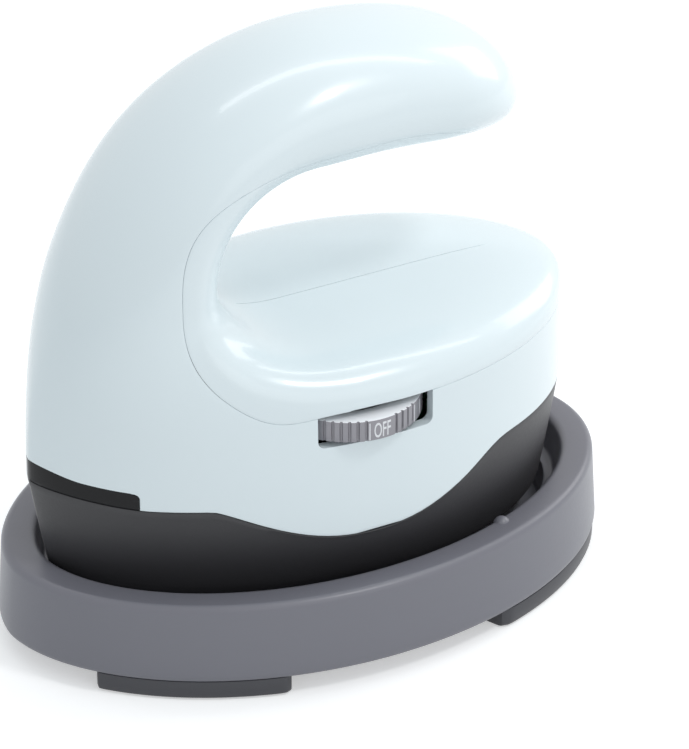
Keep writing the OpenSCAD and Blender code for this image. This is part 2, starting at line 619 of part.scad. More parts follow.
// ---- electrics ----
module control_board() {
    color("darkgreen") difference() {
        translate([-20, -29.3, board_z]) cube([47, 45.8, board_t]);
        for (p = post_xy) translate([p[0], p[1], board_z - 1]) cylinder(r = 1.1 + hole_fit, h = 4, $fn = 24);
        for (p = boss_xy) translate([p[0], p[1], board_z - 1]) cylinder(r = 4.4, h = 4, $fn = 32);
    }
}
module board_screws() {
    color("silver") for (p = post_xy) translate([p[0], p[1], chip_z]) screw(1.1, board_t + 5, 2.1, 1.5);
}
module relay() {
    color("royalblue") translate([6, -4, chip_z]) {
        cube([15, 12, 14.5]);
        translate([0.4, 0.4, 14.5]) cube([14.2, 11.2, 0.3]);
    }
}
module capacitor() {
    color("gold") translate([-6, 6, chip_z]) {
        cylinder(r = 4, h = 0.6, $fn = 32);
        translate([0, 0, 0.6]) cylinder(r = 4.3, h = 11, $fn = 32);
    }
}
module terminal_block() {
    color("seagreen") translate([14.2, -19, chip_z]) difference() {
        cube([8, 12, 8]);
        for (y = [3, 9]) {
            translate([4, y, 4]) cylinder(r = 1.6, h = 6, $fn = 24);
            translate([-1, y, 2.6]) rotate([0, 90, 0]) cylinder(r = 1.3, h = 10, $fn = 24);
        }
    }
}
module rotary_switch() {
    tall = dial_z - hub_h - hub_gap - chip_z;
    color("#303338") translate([dial_x, dial_y, chip_z]) difference() {
        union() {
            cylinder(r = 8, h = tall - 3, $fn = 48);
            translate([-8, -2, 0]) cube([16, 4, 2]);
            translate([0, 0, tall - 3]) cylinder(r = 4.6, h = 3, $fn = 48);
        }
        translate([0, 0, 3]) cylinder(r = shaft_r + run_fit, h = tall, $fn = 48);
    }
}
module dial_shaft() {
    color("#d8d8d0") translate([dial_x, dial_y, chip_z + 3]) difference() {
        cylinder(r = shaft_r, h = dial_z + dial_t - 0.6 - chip_z - 3, $fn = 48);
        translate([-4, 1.9, 9]) cube([8, 4, 20]);
        translate([0, 0, 10]) cylinder(r = 1.1, h = 20, $fn = 24);
    }
}
// Toothed edge of the dial, plain over the four lettered segments
function dial_rim() = [for (k = [0 : dial_teeth * 4 - 1])
    let (a = k * 90 / dial_teeth, m = k % 4, turn = (a - plain_a + 360) % 360,
         plain = turn < 4 * dial_step && turn % dial_step < plain_w,
         r = plain || m < 3 ? dial_r : dial_r - tooth_h)
    [r * cos(a), r * sin(a)]];
module temperature_dial() {
    color("silver") translate([dial_x, dial_y, dial_z]) difference() {
        union() {
            linear_extrude(dial_t) polygon(dial_rim());
            translate([0, 0, -hub_h]) cylinder(r = 4.6, h = hub_h, $fn = 48);
        }
        difference() {
            translate([0, 0, -3]) cylinder(r = shaft_r, h = dial_t + 2.4, $fn = 48);
            translate([-4, 1.9, -4]) cube([8, 4, 14]);
        }
        cylinder(r = 1.1 + hole_fit, h = dial_t + 1, $fn = 24);
        translate([0, 0, dial_t - 0.6]) difference() {
            cylinder(r = dial_r - 1.6, h = 1, $fn = 48);
            translate([0, 0, -1]) cylinder(r = 4, h = 3, $fn = 48);
        }
    }
}
module dial_screw() {
    color("silver") translate([dial_x, dial_y, dial_z + dial_t]) screw(1.1, 5, 2.4, 1.3);
}
module led_board() {
    color("darkgreen") difference() {
        translate([-54, -8, 41]) cube([11, 16, 1.2]);
        for (p = led_xy) translate([p[0], p[1], 40]) cylinder(r = 1.1 + hole_fit, h = 4, $fn = 24);
    }
}
module indicator_leds() {
    color("white") for (y = [-5, 0, 5]) translate([-53.6, y - 1, 42.2]) {
        cube([2, 2, 1.4]);
        translate([1, 1, 1.4]) cylinder(r = 0.7, h = 0.5, $fn = 16);
    }
}
module led_screws() {
    color("silver") for (p = led_xy) translate([p[0], p[1], 42.2]) screw(1.1, 5.2, 2, 1.3);
}
// Rounded wire through a list of points
module wire(pts, r) {
    for (k = [0 : len(pts) - 2]) hull() for (j = [k, k + 1]) translate(pts[j]) sphere(r = r, $fn = 10);
}
module heater_leads() {
    color("white") for (s = [-1, 1])
        wire([[46.8, s * tube_y, top_z], [49, s * 9.5, top_z + 1.6], [50.4, s * 6, floor_z - 1], [50.2, s * 5.6, deck_in_z + 3],
              [44, s * 3.2, 33.5], [37, -3 + s * 3, 37], [30, -10 + s * 2.5, 42], [23, -13 + s * 3, chip_z + 2.6]], 0.8);
}
module cord_bushing() {
    color("#26282b") translate([0, 0, cord_z]) rotate([0, 90, 0]) difference() {
        union() {
            translate([0, 0, heel_x - 6]) cylinder(r = barrel_r, h = 6.8, $fn = 48);
            translate([0, 0, heel_x - 8.6]) cylinder(r = flange_r, h = 2.8, $fn = 48);
        }
        translate([0, 0, heel_x - 10]) cylinder(r = cord_r, h = 12, $fn = 48);
    }
}
module cord_clamp() {
    color("dimgray") difference() {
        translate([40, -12, 44]) cube([6, 24, 3.2]);
        for (p = clamp_xy) translate([p[0], p[1], 40]) cylinder(r = 1.1 + hole_fit, h = 10, $fn = 24);
        translate([39, 0, 43]) rotate([0, 90, 0]) cylinder(r = cord_r, h = 8, $fn = 32);
    }
}
module clamp_screws() {
    color("silver") for (p = clamp_xy) translate([p[0], p[1], 47.2]) screw(1.1, 8, 2.1, 1.4);
}

base_tray();
rubber_feet();
rest_pads();
soleplate();
heating_element();
temperature_sensor();
sensor_clip();
thermal_fuse();
insulation_pad();
heat_shield();
standoffs();
soleplate_screws();
lower_housing();
housing_screws();
handle_shell();
inner_cover();
indicator_window();
light_guide();
led_board();
indicator_leds();
led_screws();
control_board();
board_screws();
relay();
capacitor();
terminal_block();
rotary_switch();
dial_shaft();
temperature_dial();
dial_screw();
heater_leads();
cord_bushing();
cord_clamp();
clamp_screws();
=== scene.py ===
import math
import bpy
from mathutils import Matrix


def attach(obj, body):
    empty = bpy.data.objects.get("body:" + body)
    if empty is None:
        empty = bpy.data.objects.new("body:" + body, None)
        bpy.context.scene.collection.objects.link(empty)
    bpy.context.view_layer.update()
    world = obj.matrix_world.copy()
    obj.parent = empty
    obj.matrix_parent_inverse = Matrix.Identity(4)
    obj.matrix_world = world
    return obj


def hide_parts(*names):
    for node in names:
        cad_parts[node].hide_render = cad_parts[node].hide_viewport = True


bl_info = {
    "name": "Mini Heat Press",
    "version": (1, 0, 0),
    "blender": (4, 5, 0),
    "location": "View3D > Sidebar > Heat Press",
    "description": "Dresses the packed model of a mini heat press in its safety base",
    "category": "Object",
}

from contextlib import contextmanager
from types import SimpleNamespace

import bpy
from bpy.props import FloatProperty, FloatVectorProperty, IntProperty, PointerProperty
from mathutils import Matrix, Vector

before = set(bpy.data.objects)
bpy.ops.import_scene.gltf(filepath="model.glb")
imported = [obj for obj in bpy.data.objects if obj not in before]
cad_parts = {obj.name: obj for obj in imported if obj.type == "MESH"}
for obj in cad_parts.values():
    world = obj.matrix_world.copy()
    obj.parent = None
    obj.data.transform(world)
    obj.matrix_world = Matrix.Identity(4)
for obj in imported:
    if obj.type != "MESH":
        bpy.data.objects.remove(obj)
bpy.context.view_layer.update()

# All sizes below are in millimetres and all angles in degrees, unless a comment says otherwise
MM = 0.001


# ---- sizes and colours
def length_field(label, text, value):
    """A length for the panel, which is in metres"""
    return FloatProperty(name=label, description=text, default=value, unit="LENGTH")


def colour_field(label, text, value):
    """A colour for the panel"""
    return FloatVectorProperty(name=label, description=text, subtype="COLOR", size=3, default=value)


class PressSizes(bpy.types.PropertyGroup):
    """Sizes of the press's body"""

    nose_x: length_field("Nose", "Nose of the body ahead of the origin", 0.065)
    heel_x: length_field("Heel", "Heel of the body behind the origin", 0.0619)
    half_w: length_field("Half breadth", "Half of the body's breadth", 0.037)
    deck_z: length_field("Deck height", "Height of the deck under the fingers", 0.0703)
    gap_h: length_field("Finger gap", "Clear height under the handle", 0.0343)
    grip_t: length_field("Handle thickness", "Thickness at the crown", 0.0284)
    grip_w: length_field("Handle breadth", "Breadth of the handle", 0.0422)
    spine_w: length_field("Spine breadth", "Breadth of the spine", 0.0466)
    wall: length_field("Wall", "Wall of the mouldings", 0.0024)
    seam: length_field("Seam", "Width of the groove between shell and cover", 0.0001)


class BaseSizes(bpy.types.PropertyGroup):
    """Sizes of the safety base"""

    reach: length_field("Reach", "Nose and heel of the base from the origin", 0.0706)
    half_w: length_field("Half breadth", "Half of the base's breadth", 0.0468)
    foot_h: length_field("Foot height", "Height of the feet", 0.0045)
    height: length_field("Height", "Height of the base above its feet", 0.0182)
    rim_w: length_field("Rim", "Breadth of the rim", 0.0075)
    rim_r: length_field("Rim edge", "Radius of the rim's edges", 0.0017)


class DialSizes(bpy.types.PropertyGroup):
    """Sizes of the toothed dial"""

    radius: length_field("Radius", "Radius of the dial", 0.016)
    height: length_field("Height", "Thickness of the dial", 0.005)
    teeth: IntProperty(name="Teeth", description="Teeth round the whole dial", default=56)
    tooth: length_field("Tooth depth", "Depth of a tooth", 0.0005)


class Finishes(bpy.types.PropertyGroup):
    """Colours of the finishes"""

    shell: colour_field("Shell", "Pale gloss moulding", (0.775, 0.855, 0.88))
    housing: colour_field("Housing", "Dark lower housing", (0.035, 0.034, 0.037))
    base: colour_field("Base", "Gray safety base", (0.175, 0.173, 0.20))
    foot: colour_field("Feet", "Rubber feet", (0.008, 0.008, 0.01))
    dial: colour_field("Dial", "Silver dial", (0.30, 0.29, 0.315))


SIZES = {}


def measure():
    """Reads the panel's values afresh, with lengths in millimetres"""
    for key, cls in GROUPS.items():
        group = getattr(bpy.context.scene, key)
        values = {}
        for name in cls.__annotations__:
            value = getattr(group, name)
            if group.bl_rna.properties[name].unit == "LENGTH":
                value = round(value / MM, 4)
            values[name] = value
        SIZES[key] = SimpleNamespace(**values)


def body():
    return SIZES["press_body"]


def base():
    return SIZES["press_base"]


def dial():
    return SIZES["press_dial"]


def colours():
    return SIZES["press_finish"]


# ---- small helpers
def mix(a, b, t):
    return a + (b - a) * t


def smooth(t):
    t = min(max(t, 0.0), 1.0)
    return t * t * (3 - 2 * t)


def root(v, e):
    return max(v, 0.0) ** (1.0 / e)


def spow(v, e):
    return math.copysign(abs(v) ** e, v)


def sind(a):
    return math.sin(math.radians(a))


def cosd(a):
    return math.cos(math.radians(a))


# Reach of a weld, longest edge of a speck and first size of a primitive, all in metres
SHEET_WELD = 0.000004
WORD_WELD = 0.0000005
SPECK = 0.000001
FIRST_SIZE = 0.01


def deselect():
    if bpy.context.object and bpy.context.object.mode != "OBJECT":
        bpy.ops.object.mode_set(mode="OBJECT")
    bpy.ops.object.select_all(action="DESELECT")


def pick(*objs):
    deselect()
    for o in objs:
        o.select_set(True)
    bpy.context.view_layer.objects.active = objs[0]


def named(name):
    o = bpy.context.object
    o.name = name
    o.data.name = name
    return o


@contextmanager
def editing():
    """Edit mode with everything selected"""
    bpy.ops.object.mode_set(mode="EDIT")
    bpy.ops.mesh.select_all(action="SELECT")
    yield
    bpy.ops.object.mode_set(mode="OBJECT")


def weld(reach):
    """Merges points that lie within reach of each other"""
    with editing():
        bpy.ops.mesh.remove_doubles(threshold=reach)
        bpy.ops.mesh.dissolve_degenerate(threshold=SPECK)


def sheet(name, rows, left_out=()):
    """A grid whose rows are laid on the given sections, without the faces left out"""
    n, m = len(rows), len(rows[0])
    deselect()
    bpy.ops.mesh.primitive_grid_add(x_subdivisions=m - 1, y_subdivisions=n - 1, size=FIRST_SIZE)
    o = named(name)
    flat = [c * MM for row in rows for p in row for c in p]
    o.data.vertices.foreach_set("co", flat)
    if left_out:
        bpy.ops.object.mode_set(mode="EDIT")
        bpy.ops.mesh.select_mode(type="FACE")
        bpy.ops.mesh.select_all(action="DESELECT")
        bpy.ops.object.mode_set(mode="OBJECT")
        for k in left_out:
            o.data.polygons[k].select = True
        bpy.ops.object.mode_set(mode="EDIT")
        bpy.ops.mesh.delete(type="FACE")
        bpy.ops.mesh.select_mode(type="VERT")
        bpy.ops.object.mode_set(mode="OBJECT")
    o.data.update()
    weld(SHEET_WELD)
    return o


def closed(name, rings):
    """A closed skin over rings that all have as many points"""
    o = sheet(name, [list(r) + [r[0]] for r in rings])
    outward(o)
    return o


def outward(o):
    """Turns the faces of a closed form outward"""
    pick(o)
    with editing():
        bpy.ops.mesh.normals_make_consistent(inside=False)


def apply(o, mod):
    pick(o)
    bpy.ops.object.modifier_apply(modifier=mod.name)


def thicken(o, wall):
    """Gives a sheet its wall, on the side that its faces look away from"""
    m = o.modifiers.new("Wall", "SOLIDIFY")
    m.thickness = wall * MM
    m.offset = -1
    m.use_even_offset = True
    apply(o, m)


def soften(o, width, angle):
    """Rounds the edges at which the faces turn by more than the angle"""
    m = o.modifiers.new("Soft edges", "BEVEL")
    m.width = width * MM
    m.segments = 2
    m.limit_method = "ANGLE"
    m.angle_limit = math.radians(angle)
    m.use_clamp_overlap = True
    apply(o, m)


def carve(o, tool, kind="DIFFERENCE"):
    """Cuts the tool out of the object, or keeps only what lies inside the tool"""
    m = o.modifiers.new("Cut", "BOOLEAN")
    m.operation = kind
    m.solver = "EXACT"
    m.object = tool
    apply(o, m)
    if not o.data.polygons:
        raise RuntimeError(f"{tool.name} left nothing of {o.name}")
    bpy.data.objects.remove(tool, do_unlink=True)


def shade(o, angle):
    pick(o)
    bpy.ops.object.shade_smooth_by_angle(angle=math.radians(angle))


def put_down(o):
    """Leaves the object at the origin, unturned and unscaled, with its place in its mesh"""
    pick(o)
    bpy.ops.object.transform_apply(location=True, rotation=True, scale=True)


def join(first, *others):
    pick(first, *others)
    bpy.ops.object.join()
    return first


def block(name, lo, hi):
    """A box from one corner to the opposite one"""
    deselect()
    middle = [(a + b) / 2 * MM for a, b in zip(lo, hi)]
    bpy.ops.mesh.primitive_cube_add(size=1, location=middle)
    o = named(name)
    o.scale = [(b - a) * MM for a, b in zip(lo, hi)]
    put_down(o)
    return o


def rod(name, p, r, h, axis, sides):
    """A cylinder round the point p, along the Z or the X axis"""
    deselect()
    turn = {"Z": (0, 0, 0), "X": (0, math.pi / 2, 0)}[axis]
    bpy.ops.mesh.primitive_cylinder_add(
        vertices=sides, radius=r * MM, depth=h * MM, location=[c * MM for c in p], rotation=turn)
    o = named(name)
    put_down(o)
    return o


def side_prism(name, outline, y0, y1):
    """A side view (x, z) stretched across the body from y0 to y1"""
    n = len(outline)
    deselect()
    bpy.ops.mesh.primitive_circle_add(vertices=n, radius=FIRST_SIZE, fill_type="NGON")
    o = named(name)
    for v, (x, z) in zip(o.data.vertices, outline):
        v.co = (x * MM, y0 * MM, z * MM)
    o.data.update()
    with editing():
        bpy.ops.mesh.extrude_region_move(TRANSFORM_OT_translate={"value": (0, (y1 - y0) * MM, 0)})
    outward(o)
    return o


# ---- form of the body
# Plan outline: fullness of nose and heel, broadest place, and the nose's inset for 1 at the sides
NOSE_FULL = 1.45
HEEL_FULL = 1.9
BROAD_X = 5.0
NOSE_INSET = 1.15
# Deck's rounded shoulder: its depth, its fullness and its depth at the heel
ROLL_H = 9.1
ROLL_FULL = 7.0
HEEL_ROLL = 5.0
# Shell's lower edge: height, and the amount, start and run of its rise at nose and heel
EDGE_Z = 40.4
NOSE_RISE, NOSE_RISE_X, NOSE_RISE_RUN = 1.9, -46, 22
HEEL_RISE, HEEL_RISE_X, HEEL_RISE_RUN = 2.0, 20, 16
# Wave in that edge: lowest point, depth, ends and shape of each flank
WAVE_X = -4.5
WAVE_H = 9.4
WAVE_NOSE_X, WAVE_HEEL_X = -35.5, 33
WAVE_NOSE_FULL, WAVE_HEEL_FULL = 0.68, 1.5
# Inner bend: centre, reach, height as a share of the gap, and fullness
BEND_X = -3.3
BEND_R = 21.1
BEND_SHARE = 0.455
BEND_FULL_LOW, BEND_FULL_HIGH = 2.6, 2.2
# Place where the spine is broadest, ahead of the inner bend
SPINE_AHEAD = 12
# Front of the body: height up to which it is straight, and its fullness above
FRONT_Z = EDGE_Z + 5.6
FRONT_E = 1.97
# Depth of the rounding towards the inner C, at the spine and at the handle
SPINE_ROLL = 12
GRIP_ROLL = 13.6
# Handle: its crown, its end, and the fullness of its back
CROWN_X = 6.5
TIP_X = 50.7
BELLY = 2.15
# Flare where it leaves the bend, which fades over one part in FADE of its length
FLARE = 1
FADE = 3
# Droop of its underside: amount, start behind the bend and run
DROOP = 1.1
DROOP_FROM, DROOP_RUN = 9, 35
# Its rounded end: length, height, share of the sections before it, start of the taper in plan,
# and share of the thickness that lies below
TIP_RUN = 9.8
TIP_RISE = 5.5
TIP_SHARE = 0.62
TAPER_X = 28.0
TIP_DEPTH = 0.47
# Foot of the sections: its height, the bend position of its corner and the room to round it
LOFT_Z = 28.0
CORNER_F = 0.27
CORNER_ROOM = 0.05
# Indicator strip: rear end, first point, height, and extra height, start and run at the nose
STRIP_X = -48.7
STRIP_FROM_X = -72
STRIP_H = 3.9
STRIP_RISE, STRIP_RISE_X, STRIP_RISE_RUN = 1.2, -58, 8
# Seam: its height over the deck's shoulder, and the oval round the inner C
SEAM_UP = 0.11
SEAM_BACK = 1.7
SEAM_Z = 87.0
SEAM_R = 34.4
SEAM_FULL = 2.8
SEAM_TOP = 8
SEAM_DIP, SEAM_DIP_X, SEAM_DIP_RUN = 2.2, -18, 9
# Its run along the handle: place, and height above the handle's underside
SEAM_END = 2.9
SEAM_RUN = ((10, 8.5), (18, 8.1), (25, 6.9), (31, 5), (37.5, 3), (44, SEAM_END), (60, SEAM_END),
            (90, SEAM_END))
# Steps in which a section is sampled, and points kept on each half of it
SAMPLES = 120
HALF_POINTS = 46


def under_z():
    """Height of the handle's underside"""
    return body().deck_z + body().gap_h


def bend_z():
    """Height of the inner bend's centre"""
    return body().deck_z + body().gap_h * BEND_SHARE


def crown_z():
    return under_z() + body().grip_t


def seam_z():
    """Height of the seam along the deck's shoulder"""
    return body().deck_z - ROLL_H + SEAM_UP


def plan_y(x):
    """Half-breadth of the body's plan at x"""
    b = body()
    if x < BROAD_X:
        return b.half_w * root(1 - ((BROAD_X - x) / (BROAD_X + b.nose_x)) ** 2, NOSE_FULL)
    return b.half_w * root(1 - ((x - BROAD_X) / (b.heel_x - BROAD_X)) ** 2, HEEL_FULL)


def front_x(z):
    """Front of the body at height z"""
    b = body()
    if z <= FRONT_Z:
        return -b.nose_x
    h = crown_z() - FRONT_Z
    return CROWN_X - (CROWN_X + b.nose_x) * root(1 - ((z - FRONT_Z) / h) ** FRONT_E, FRONT_E)


def hull_y(x, z, f):
    """Half-breadth of the outside at (x, z), as f turns from the deck (0) to the spine (0.5)"""
    b = body()
    s = smooth(2 * f) * smooth((z - FRONT_Z) / (bend_z() - FRONT_Z))
    w = mix(b.half_w, b.spine_w / 2, s)
    xm = mix(BROAD_X, BEND_X - BEND_R - SPINE_AHEAD, s)
    n = mix(NOSE_FULL, BELLY, s)
    if x < xm:
        return w * root(1 - ((xm - x) / (xm - front_x(z))) ** 2, n)
    return w


def edge_at(x):
    """Height of the shell's wavy lower edge at x"""
    if x < WAVE_X:
        dip = smooth(max(0.0, (x - WAVE_NOSE_X) / (WAVE_X - WAVE_NOSE_X)) ** WAVE_NOSE_FULL)
    else:
        dip = 1 - smooth(max(0.0, (x - WAVE_X) / (WAVE_HEEL_X - WAVE_X)) ** WAVE_HEEL_FULL)
    nose = NOSE_RISE * smooth((NOSE_RISE_X - x) / NOSE_RISE_RUN)
    heel = HEEL_RISE * smooth((x - HEEL_RISE_X) / HEEL_RISE_RUN)
    return EDGE_Z + nose + heel - WAVE_H * dip


def strip_top(x):
    return edge_at(x) + STRIP_H + STRIP_RISE * smooth((STRIP_RISE_X - x) / STRIP_RISE_RUN)


def curve_through(knots, steps):
    """A smooth line through the knots, with so many points from each knot to the next"""
    pts = []
    for k in range(1, len(knots) - 1):
        p0, p1, p2 = knots[k - 1], knots[k], knots[k + 1]
        p3 = knots[min(k + 2, len(knots) - 1)]
        for j in range(steps):
            t = j / steps
            h = [2 * t**3 - 3 * t**2 + 1, t**3 - 2 * t**2 + t, -2 * t**3 + 3 * t**2, t**3 - t**2]
            d1 = (p2[1] - p0[1]) / (p2[0] - p0[0]) * (p2[0] - p1[0])
            d2 = (p3[1] - p1[1]) / max(p3[0] - p1[0], 1e-6) * (p2[0] - p1[0])
            pts.append((mix(p1[0], p2[0], t), h[0] * p1[1] + h[1] * d1 + h[2] * p2[1] + h[3] * d2))
    return pts + [knots[-1]]


def seam_line():
    """Side view of the seam, from the heel round the inner C to the end of the handle"""
    cx, e, u = BEND_X - SEAM_BACK, 2 / SEAM_FULL, under_z()
    up = u + SEAM_TOP - SEAM_Z
    down = SEAM_Z - seam_z()
    pts = [(x, seam_z()) for x in (90.0, 60.0, 30.0, cx)]
    for k in range(1, 90):
        a = 270 - 2 * k
        c, s = cosd(a), sind(a)
        x = SEAM_R * spow(c, e)
        dip = SEAM_DIP * math.exp(-(((x - SEAM_DIP_X) / SEAM_DIP_RUN) ** 2)) if s < 0 else 0.0
        pts.append((cx + x, SEAM_Z + (down if s < 0 else up) * spow(s, e) - dip))
    return pts + curve_through([(cx, u + SEAM_TOP)] + [(x, u + h) for x, h in SEAM_RUN], 6)


def halve(below, lo, hi):
    """Running value between lo and hi up to which the test holds"""
    for _ in range(50):
        m = (lo + hi) / 2
        lo, hi = (m, hi) if below(m) else (lo, m)
    return lo


class Section:
    """One cut through the body, from a point on the inner C to a point on the outer C"""

    def __init__(self, inner, outer, depth, power, width, inner_q=0.0, straight=False):
        self.p = inner
        self.length = math.hypot(outer[0] - inner[0], outer[1] - inner[1])
        if self.length < 1e-6:
            self.d = (0.0, 1.0)
        else:
            self.d = ((outer[0] - inner[0]) / self.length, (outer[1] - inner[1]) / self.length)
        self.depth = min(depth, self.length)
        self.power = power
        self.width = width
        self.v0 = inner_q
        self.straight = straight

    def depth_at(self, p):
        """Depth for a running value p: 0 to 1 over the inner roll, 1 to 2 over the outside"""
        if p <= 1:
            v = mix(self.v0, 1.0, p)
            return self.depth * (1 - math.sqrt(max(0.0, 1 - v**self.power)))
        t = p - 1
        return self.depth + (self.length - self.depth) * (t if self.straight else sind(90 * t))

    def place(self, p):
        """Point (x, z) and half-breadth at running value p"""
        t = self.depth_at(p)
        x, z = self.p[0] + self.d[0] * t, self.p[1] + self.d[1] * t
        v = mix(self.v0, 1.0, p) if p < 1 else 1.0
        return x, z, self.width(x, z, t, v)

    def crossing(self, line):
        """Running value where the section crosses the seam, or 0 if it starts beyond it"""
        best = None
        px, pz = self.p
        dx, dz = self.d
        for (x0, z0), (x1, z1) in zip(line, line[1:]):
            ex, ez = x1 - x0, z1 - z0
            den = dx * ez - dz * ex
            if abs(den) < 1e-12:
                continue
            t = ((x0 - px) * ez - (z0 - pz) * ex) / den
            u = ((x0 - px) * dz - (z0 - pz) * dx) / den
            if -1e-9 <= u <= 1 + 1e-9 and 1e-6 < t < self.length and (best is None or t < best):
                best = t
        if best is None:
            return 0.0
        return halve(lambda p: self.depth_at(p) < best, 0.0, 2.0)


def deck_section(x):
    """Section across the deck at x"""
    b = body()
    h = (x - BROAD_X) / (b.heel_x - BROAD_X)
    hn = max(h, 0.0)

    def width(px, pz, t, v):
        if x > BROAD_X:
            return b.half_w * v * root(1 - min(h / max(v, 1e-3), 1.0) ** 2, HEEL_FULL)
        return plan_y(x) * v

    depth = mix(ROLL_H, HEEL_ROLL, hn * hn)
    return Section((x, b.deck_z), (x, LOFT_Z), depth, ROLL_FULL, width, hn, True)


def toe_path(f):
    """Outer ends of the sections: along the foot, round its corner, and up the nose"""

    def straight(g):
        if g <= CORNER_F:
            return mix(BEND_X, front_x(LOFT_Z), g / CORNER_F), LOFT_Z
        z = mix(LOFT_Z, bend_z(), (g - CORNER_F) / (0.5 - CORNER_F))
        return front_x(z), z

    t = (f - CORNER_F + CORNER_ROOM) / (2 * CORNER_ROOM)
    if not 0 < t < 1:
        return straight(f)
    ends = straight(CORNER_F - CORNER_ROOM), straight(CORNER_F), straight(CORNER_F + CORNER_ROOM)
    return tuple((1 - t) ** 2 * a + 2 * t * (1 - t) * b + t * t * c for a, b, c in zip(*ends))


def back_path(f):
    """Outer ends of the sections up the back of the spine, to the crown"""
    h = crown_z() - FRONT_Z
    a0 = math.degrees(math.asin(((bend_z() - FRONT_Z) / h) ** (FRONT_E / 2)))
    a = mix(a0, 90, 2 * f - 1)
    x = CROWN_X - (CROWN_X + body().nose_x) * max(cosd(a), 0.0) ** (2 / FRONT_E)
    return x, FRONT_Z + h * sind(a) ** (2 / FRONT_E)


def bend_section(f):
    """Section round the bend, from the deck (0) over the spine (0.5) to the handle (1)"""
    b = body()
    a = 270 - 180 * f
    c, s = cosd(a), sind(a)
    e = 2 / (BEND_FULL_LOW if s < 0 else BEND_FULL_HIGH)
    rise = (bend_z() - b.deck_z) if s < 0 else (under_z() - bend_z())
    inner = (BEND_X + BEND_R * spow(c, e), bend_z() + rise * spow(s, e))
    sm = smooth(2 * f)
    depth = mix(ROLL_H, SPINE_ROLL, sm) if f < 0.5 else mix(SPINE_ROLL, GRIP_ROLL, 2 * f - 1)
    power = mix(ROLL_FULL, 2, sm)
    w = mix(b.spine_w, b.grip_w + FLARE, smooth(2 * f - 1)) / 2
    sec = Section(inner, toe_path(f) if f <= 0.5 else back_path(f), depth, power, None)

    def width(x, z, t, v):
        r = root(1 - (1 - t / sec.depth) ** 2, power) if t < sec.depth else 1.0
        if f <= 0.5:
            return r * hull_y(x, z, f)
        if t < sec.depth:
            return r * w
        return w * root(1 - ((t - sec.depth) / (sec.length - sec.depth)) ** 2, BELLY)

    sec.width = width
    return sec


def grip_section(g):
    """Section across the handle, from the bend (0) to its end (1)"""
    b = body()
    low_x, tip_z = TIP_X - TIP_RUN, under_z() + TIP_RISE
    outer = (CROWN_X + (TIP_X - CROWN_X) * sind(90 * g), tip_z + (crown_z() - tip_z) * cosd(90 * g))
    if g < TIP_SHARE:
        x = mix(BEND_X, low_x, g / TIP_SHARE)
        inner = (x, under_z() - DROOP * smooth((x - BEND_X - DROOP_FROM) / DROOP_RUN))
    else:
        a = 90 * (g - TIP_SHARE) / (1 - TIP_SHARE)
        inner = (low_x + (TIP_X - low_x) * sind(a), tip_z - (tip_z - under_z() + DROOP) * cosd(a))
    length = math.hypot(outer[0] - inner[0], outer[1] - inner[1])
    depth = mix(GRIP_ROLL, TIP_DEPTH * length, smooth(g * FADE))
    w = mix(b.grip_w + FLARE, b.grip_w, smooth(g * FADE)) / 2
    xm = (inner[0] + outer[0]) / 2
    if xm > TAPER_X:
        w *= math.sqrt(max(0.0, 1 - ((xm - TAPER_X) / (TIP_X - TAPER_X)) ** 2))
    sec = Section(inner, outer, depth, 2, None)

    def width(x, z, t, v):
        if t < sec.depth:
            return w * math.sqrt(max(0.0, 1 - (1 - t / sec.depth) ** 2))
        return w * root(1 - ((t - sec.depth) / max(sec.length - sec.depth, 1e-9)) ** 2, BELLY)

    sec.width = width
    return sec


def nose_f():
    """Bend position of the section that ends just at the nose's edge"""
    z = edge_at(-body().nose_x)
    return CORNER_F + (0.5 - CORNER_F) * (z - LOFT_Z) / (bend_z() - LOFT_Z)


def tip_g():
    """Grip position at which the seam runs into the middle of the underside"""
    a = math.degrees(math.acos((TIP_RISE - SEAM_END) / (TIP_RISE + DROOP)))
    return TIP_SHARE + (1 - TIP_SHARE) * a / 90


def all_sections():
    """All sections from heel to tip, and the places of those at the nose's edge and the tip"""
    b = body()
    turned = [0.0, 1.2, 2.6] + [4.5 + 85.5 * k / 34 for k in range(35)]
    secs = [deck_section(BROAD_X + (b.heel_x - BROAD_X) * cosd(a)) for a in turned]
    fs = {k / 100 for k in range(1, 101)} | {round(0.2 + k / 300, 5) for k in range(46)}
    fs = sorted(fs | {nose_f()})
    gs = {k / 52 for k in range(1, 49)} | {0.94, 0.955, 0.967, 0.977, 0.985, 0.991, 0.996, 0.999, 1.0}
    gs = sorted(gs | {tip_g()})
    nose, tip = len(secs) + fs.index(nose_f()), len(secs) + len(fs) + gs.index(tip_g())
    return secs + [bend_section(f) for f in fs] + [grip_section(g) for g in gs], nose, tip


def even(points, n):
    """The same line with n + 1 points, evenly spaced along it"""
    run = [0.0]
    for a, b in zip(points, points[1:]):
        run.append(run[-1] + math.dist(a, b))
    if run[-1] < 1e-9:
        return [points[0]] * (n + 1)
    out, j = [], 0
    for k in range(n + 1):
        want = run[-1] * k / n
        while j < len(run) - 2 and run[j + 1] < want:
            j += 1
        t = (want - run[j]) / max(run[j + 1] - run[j], 1e-12)
        out.append(tuple(mix(a, b, min(max(t, 0.0), 1.0)) for a, b in zip(points[j], points[j + 1])))
    return out


def strand(sec, p0, p1):
    """Half of a section, on the +Y side, from running value p0 to p1"""
    steps = range(SAMPLES + 1)
    ps = {p0, p1} | {sind(90 * k / SAMPLES) for k in steps} | {1 + k / SAMPLES for k in steps}
    pts = []
    for p in sorted(p for p in ps if p0 <= p <= p1):
        x, z, y = sec.place(p)
        pts.append((x, y, z))
    return even(pts, HALF_POINTS)


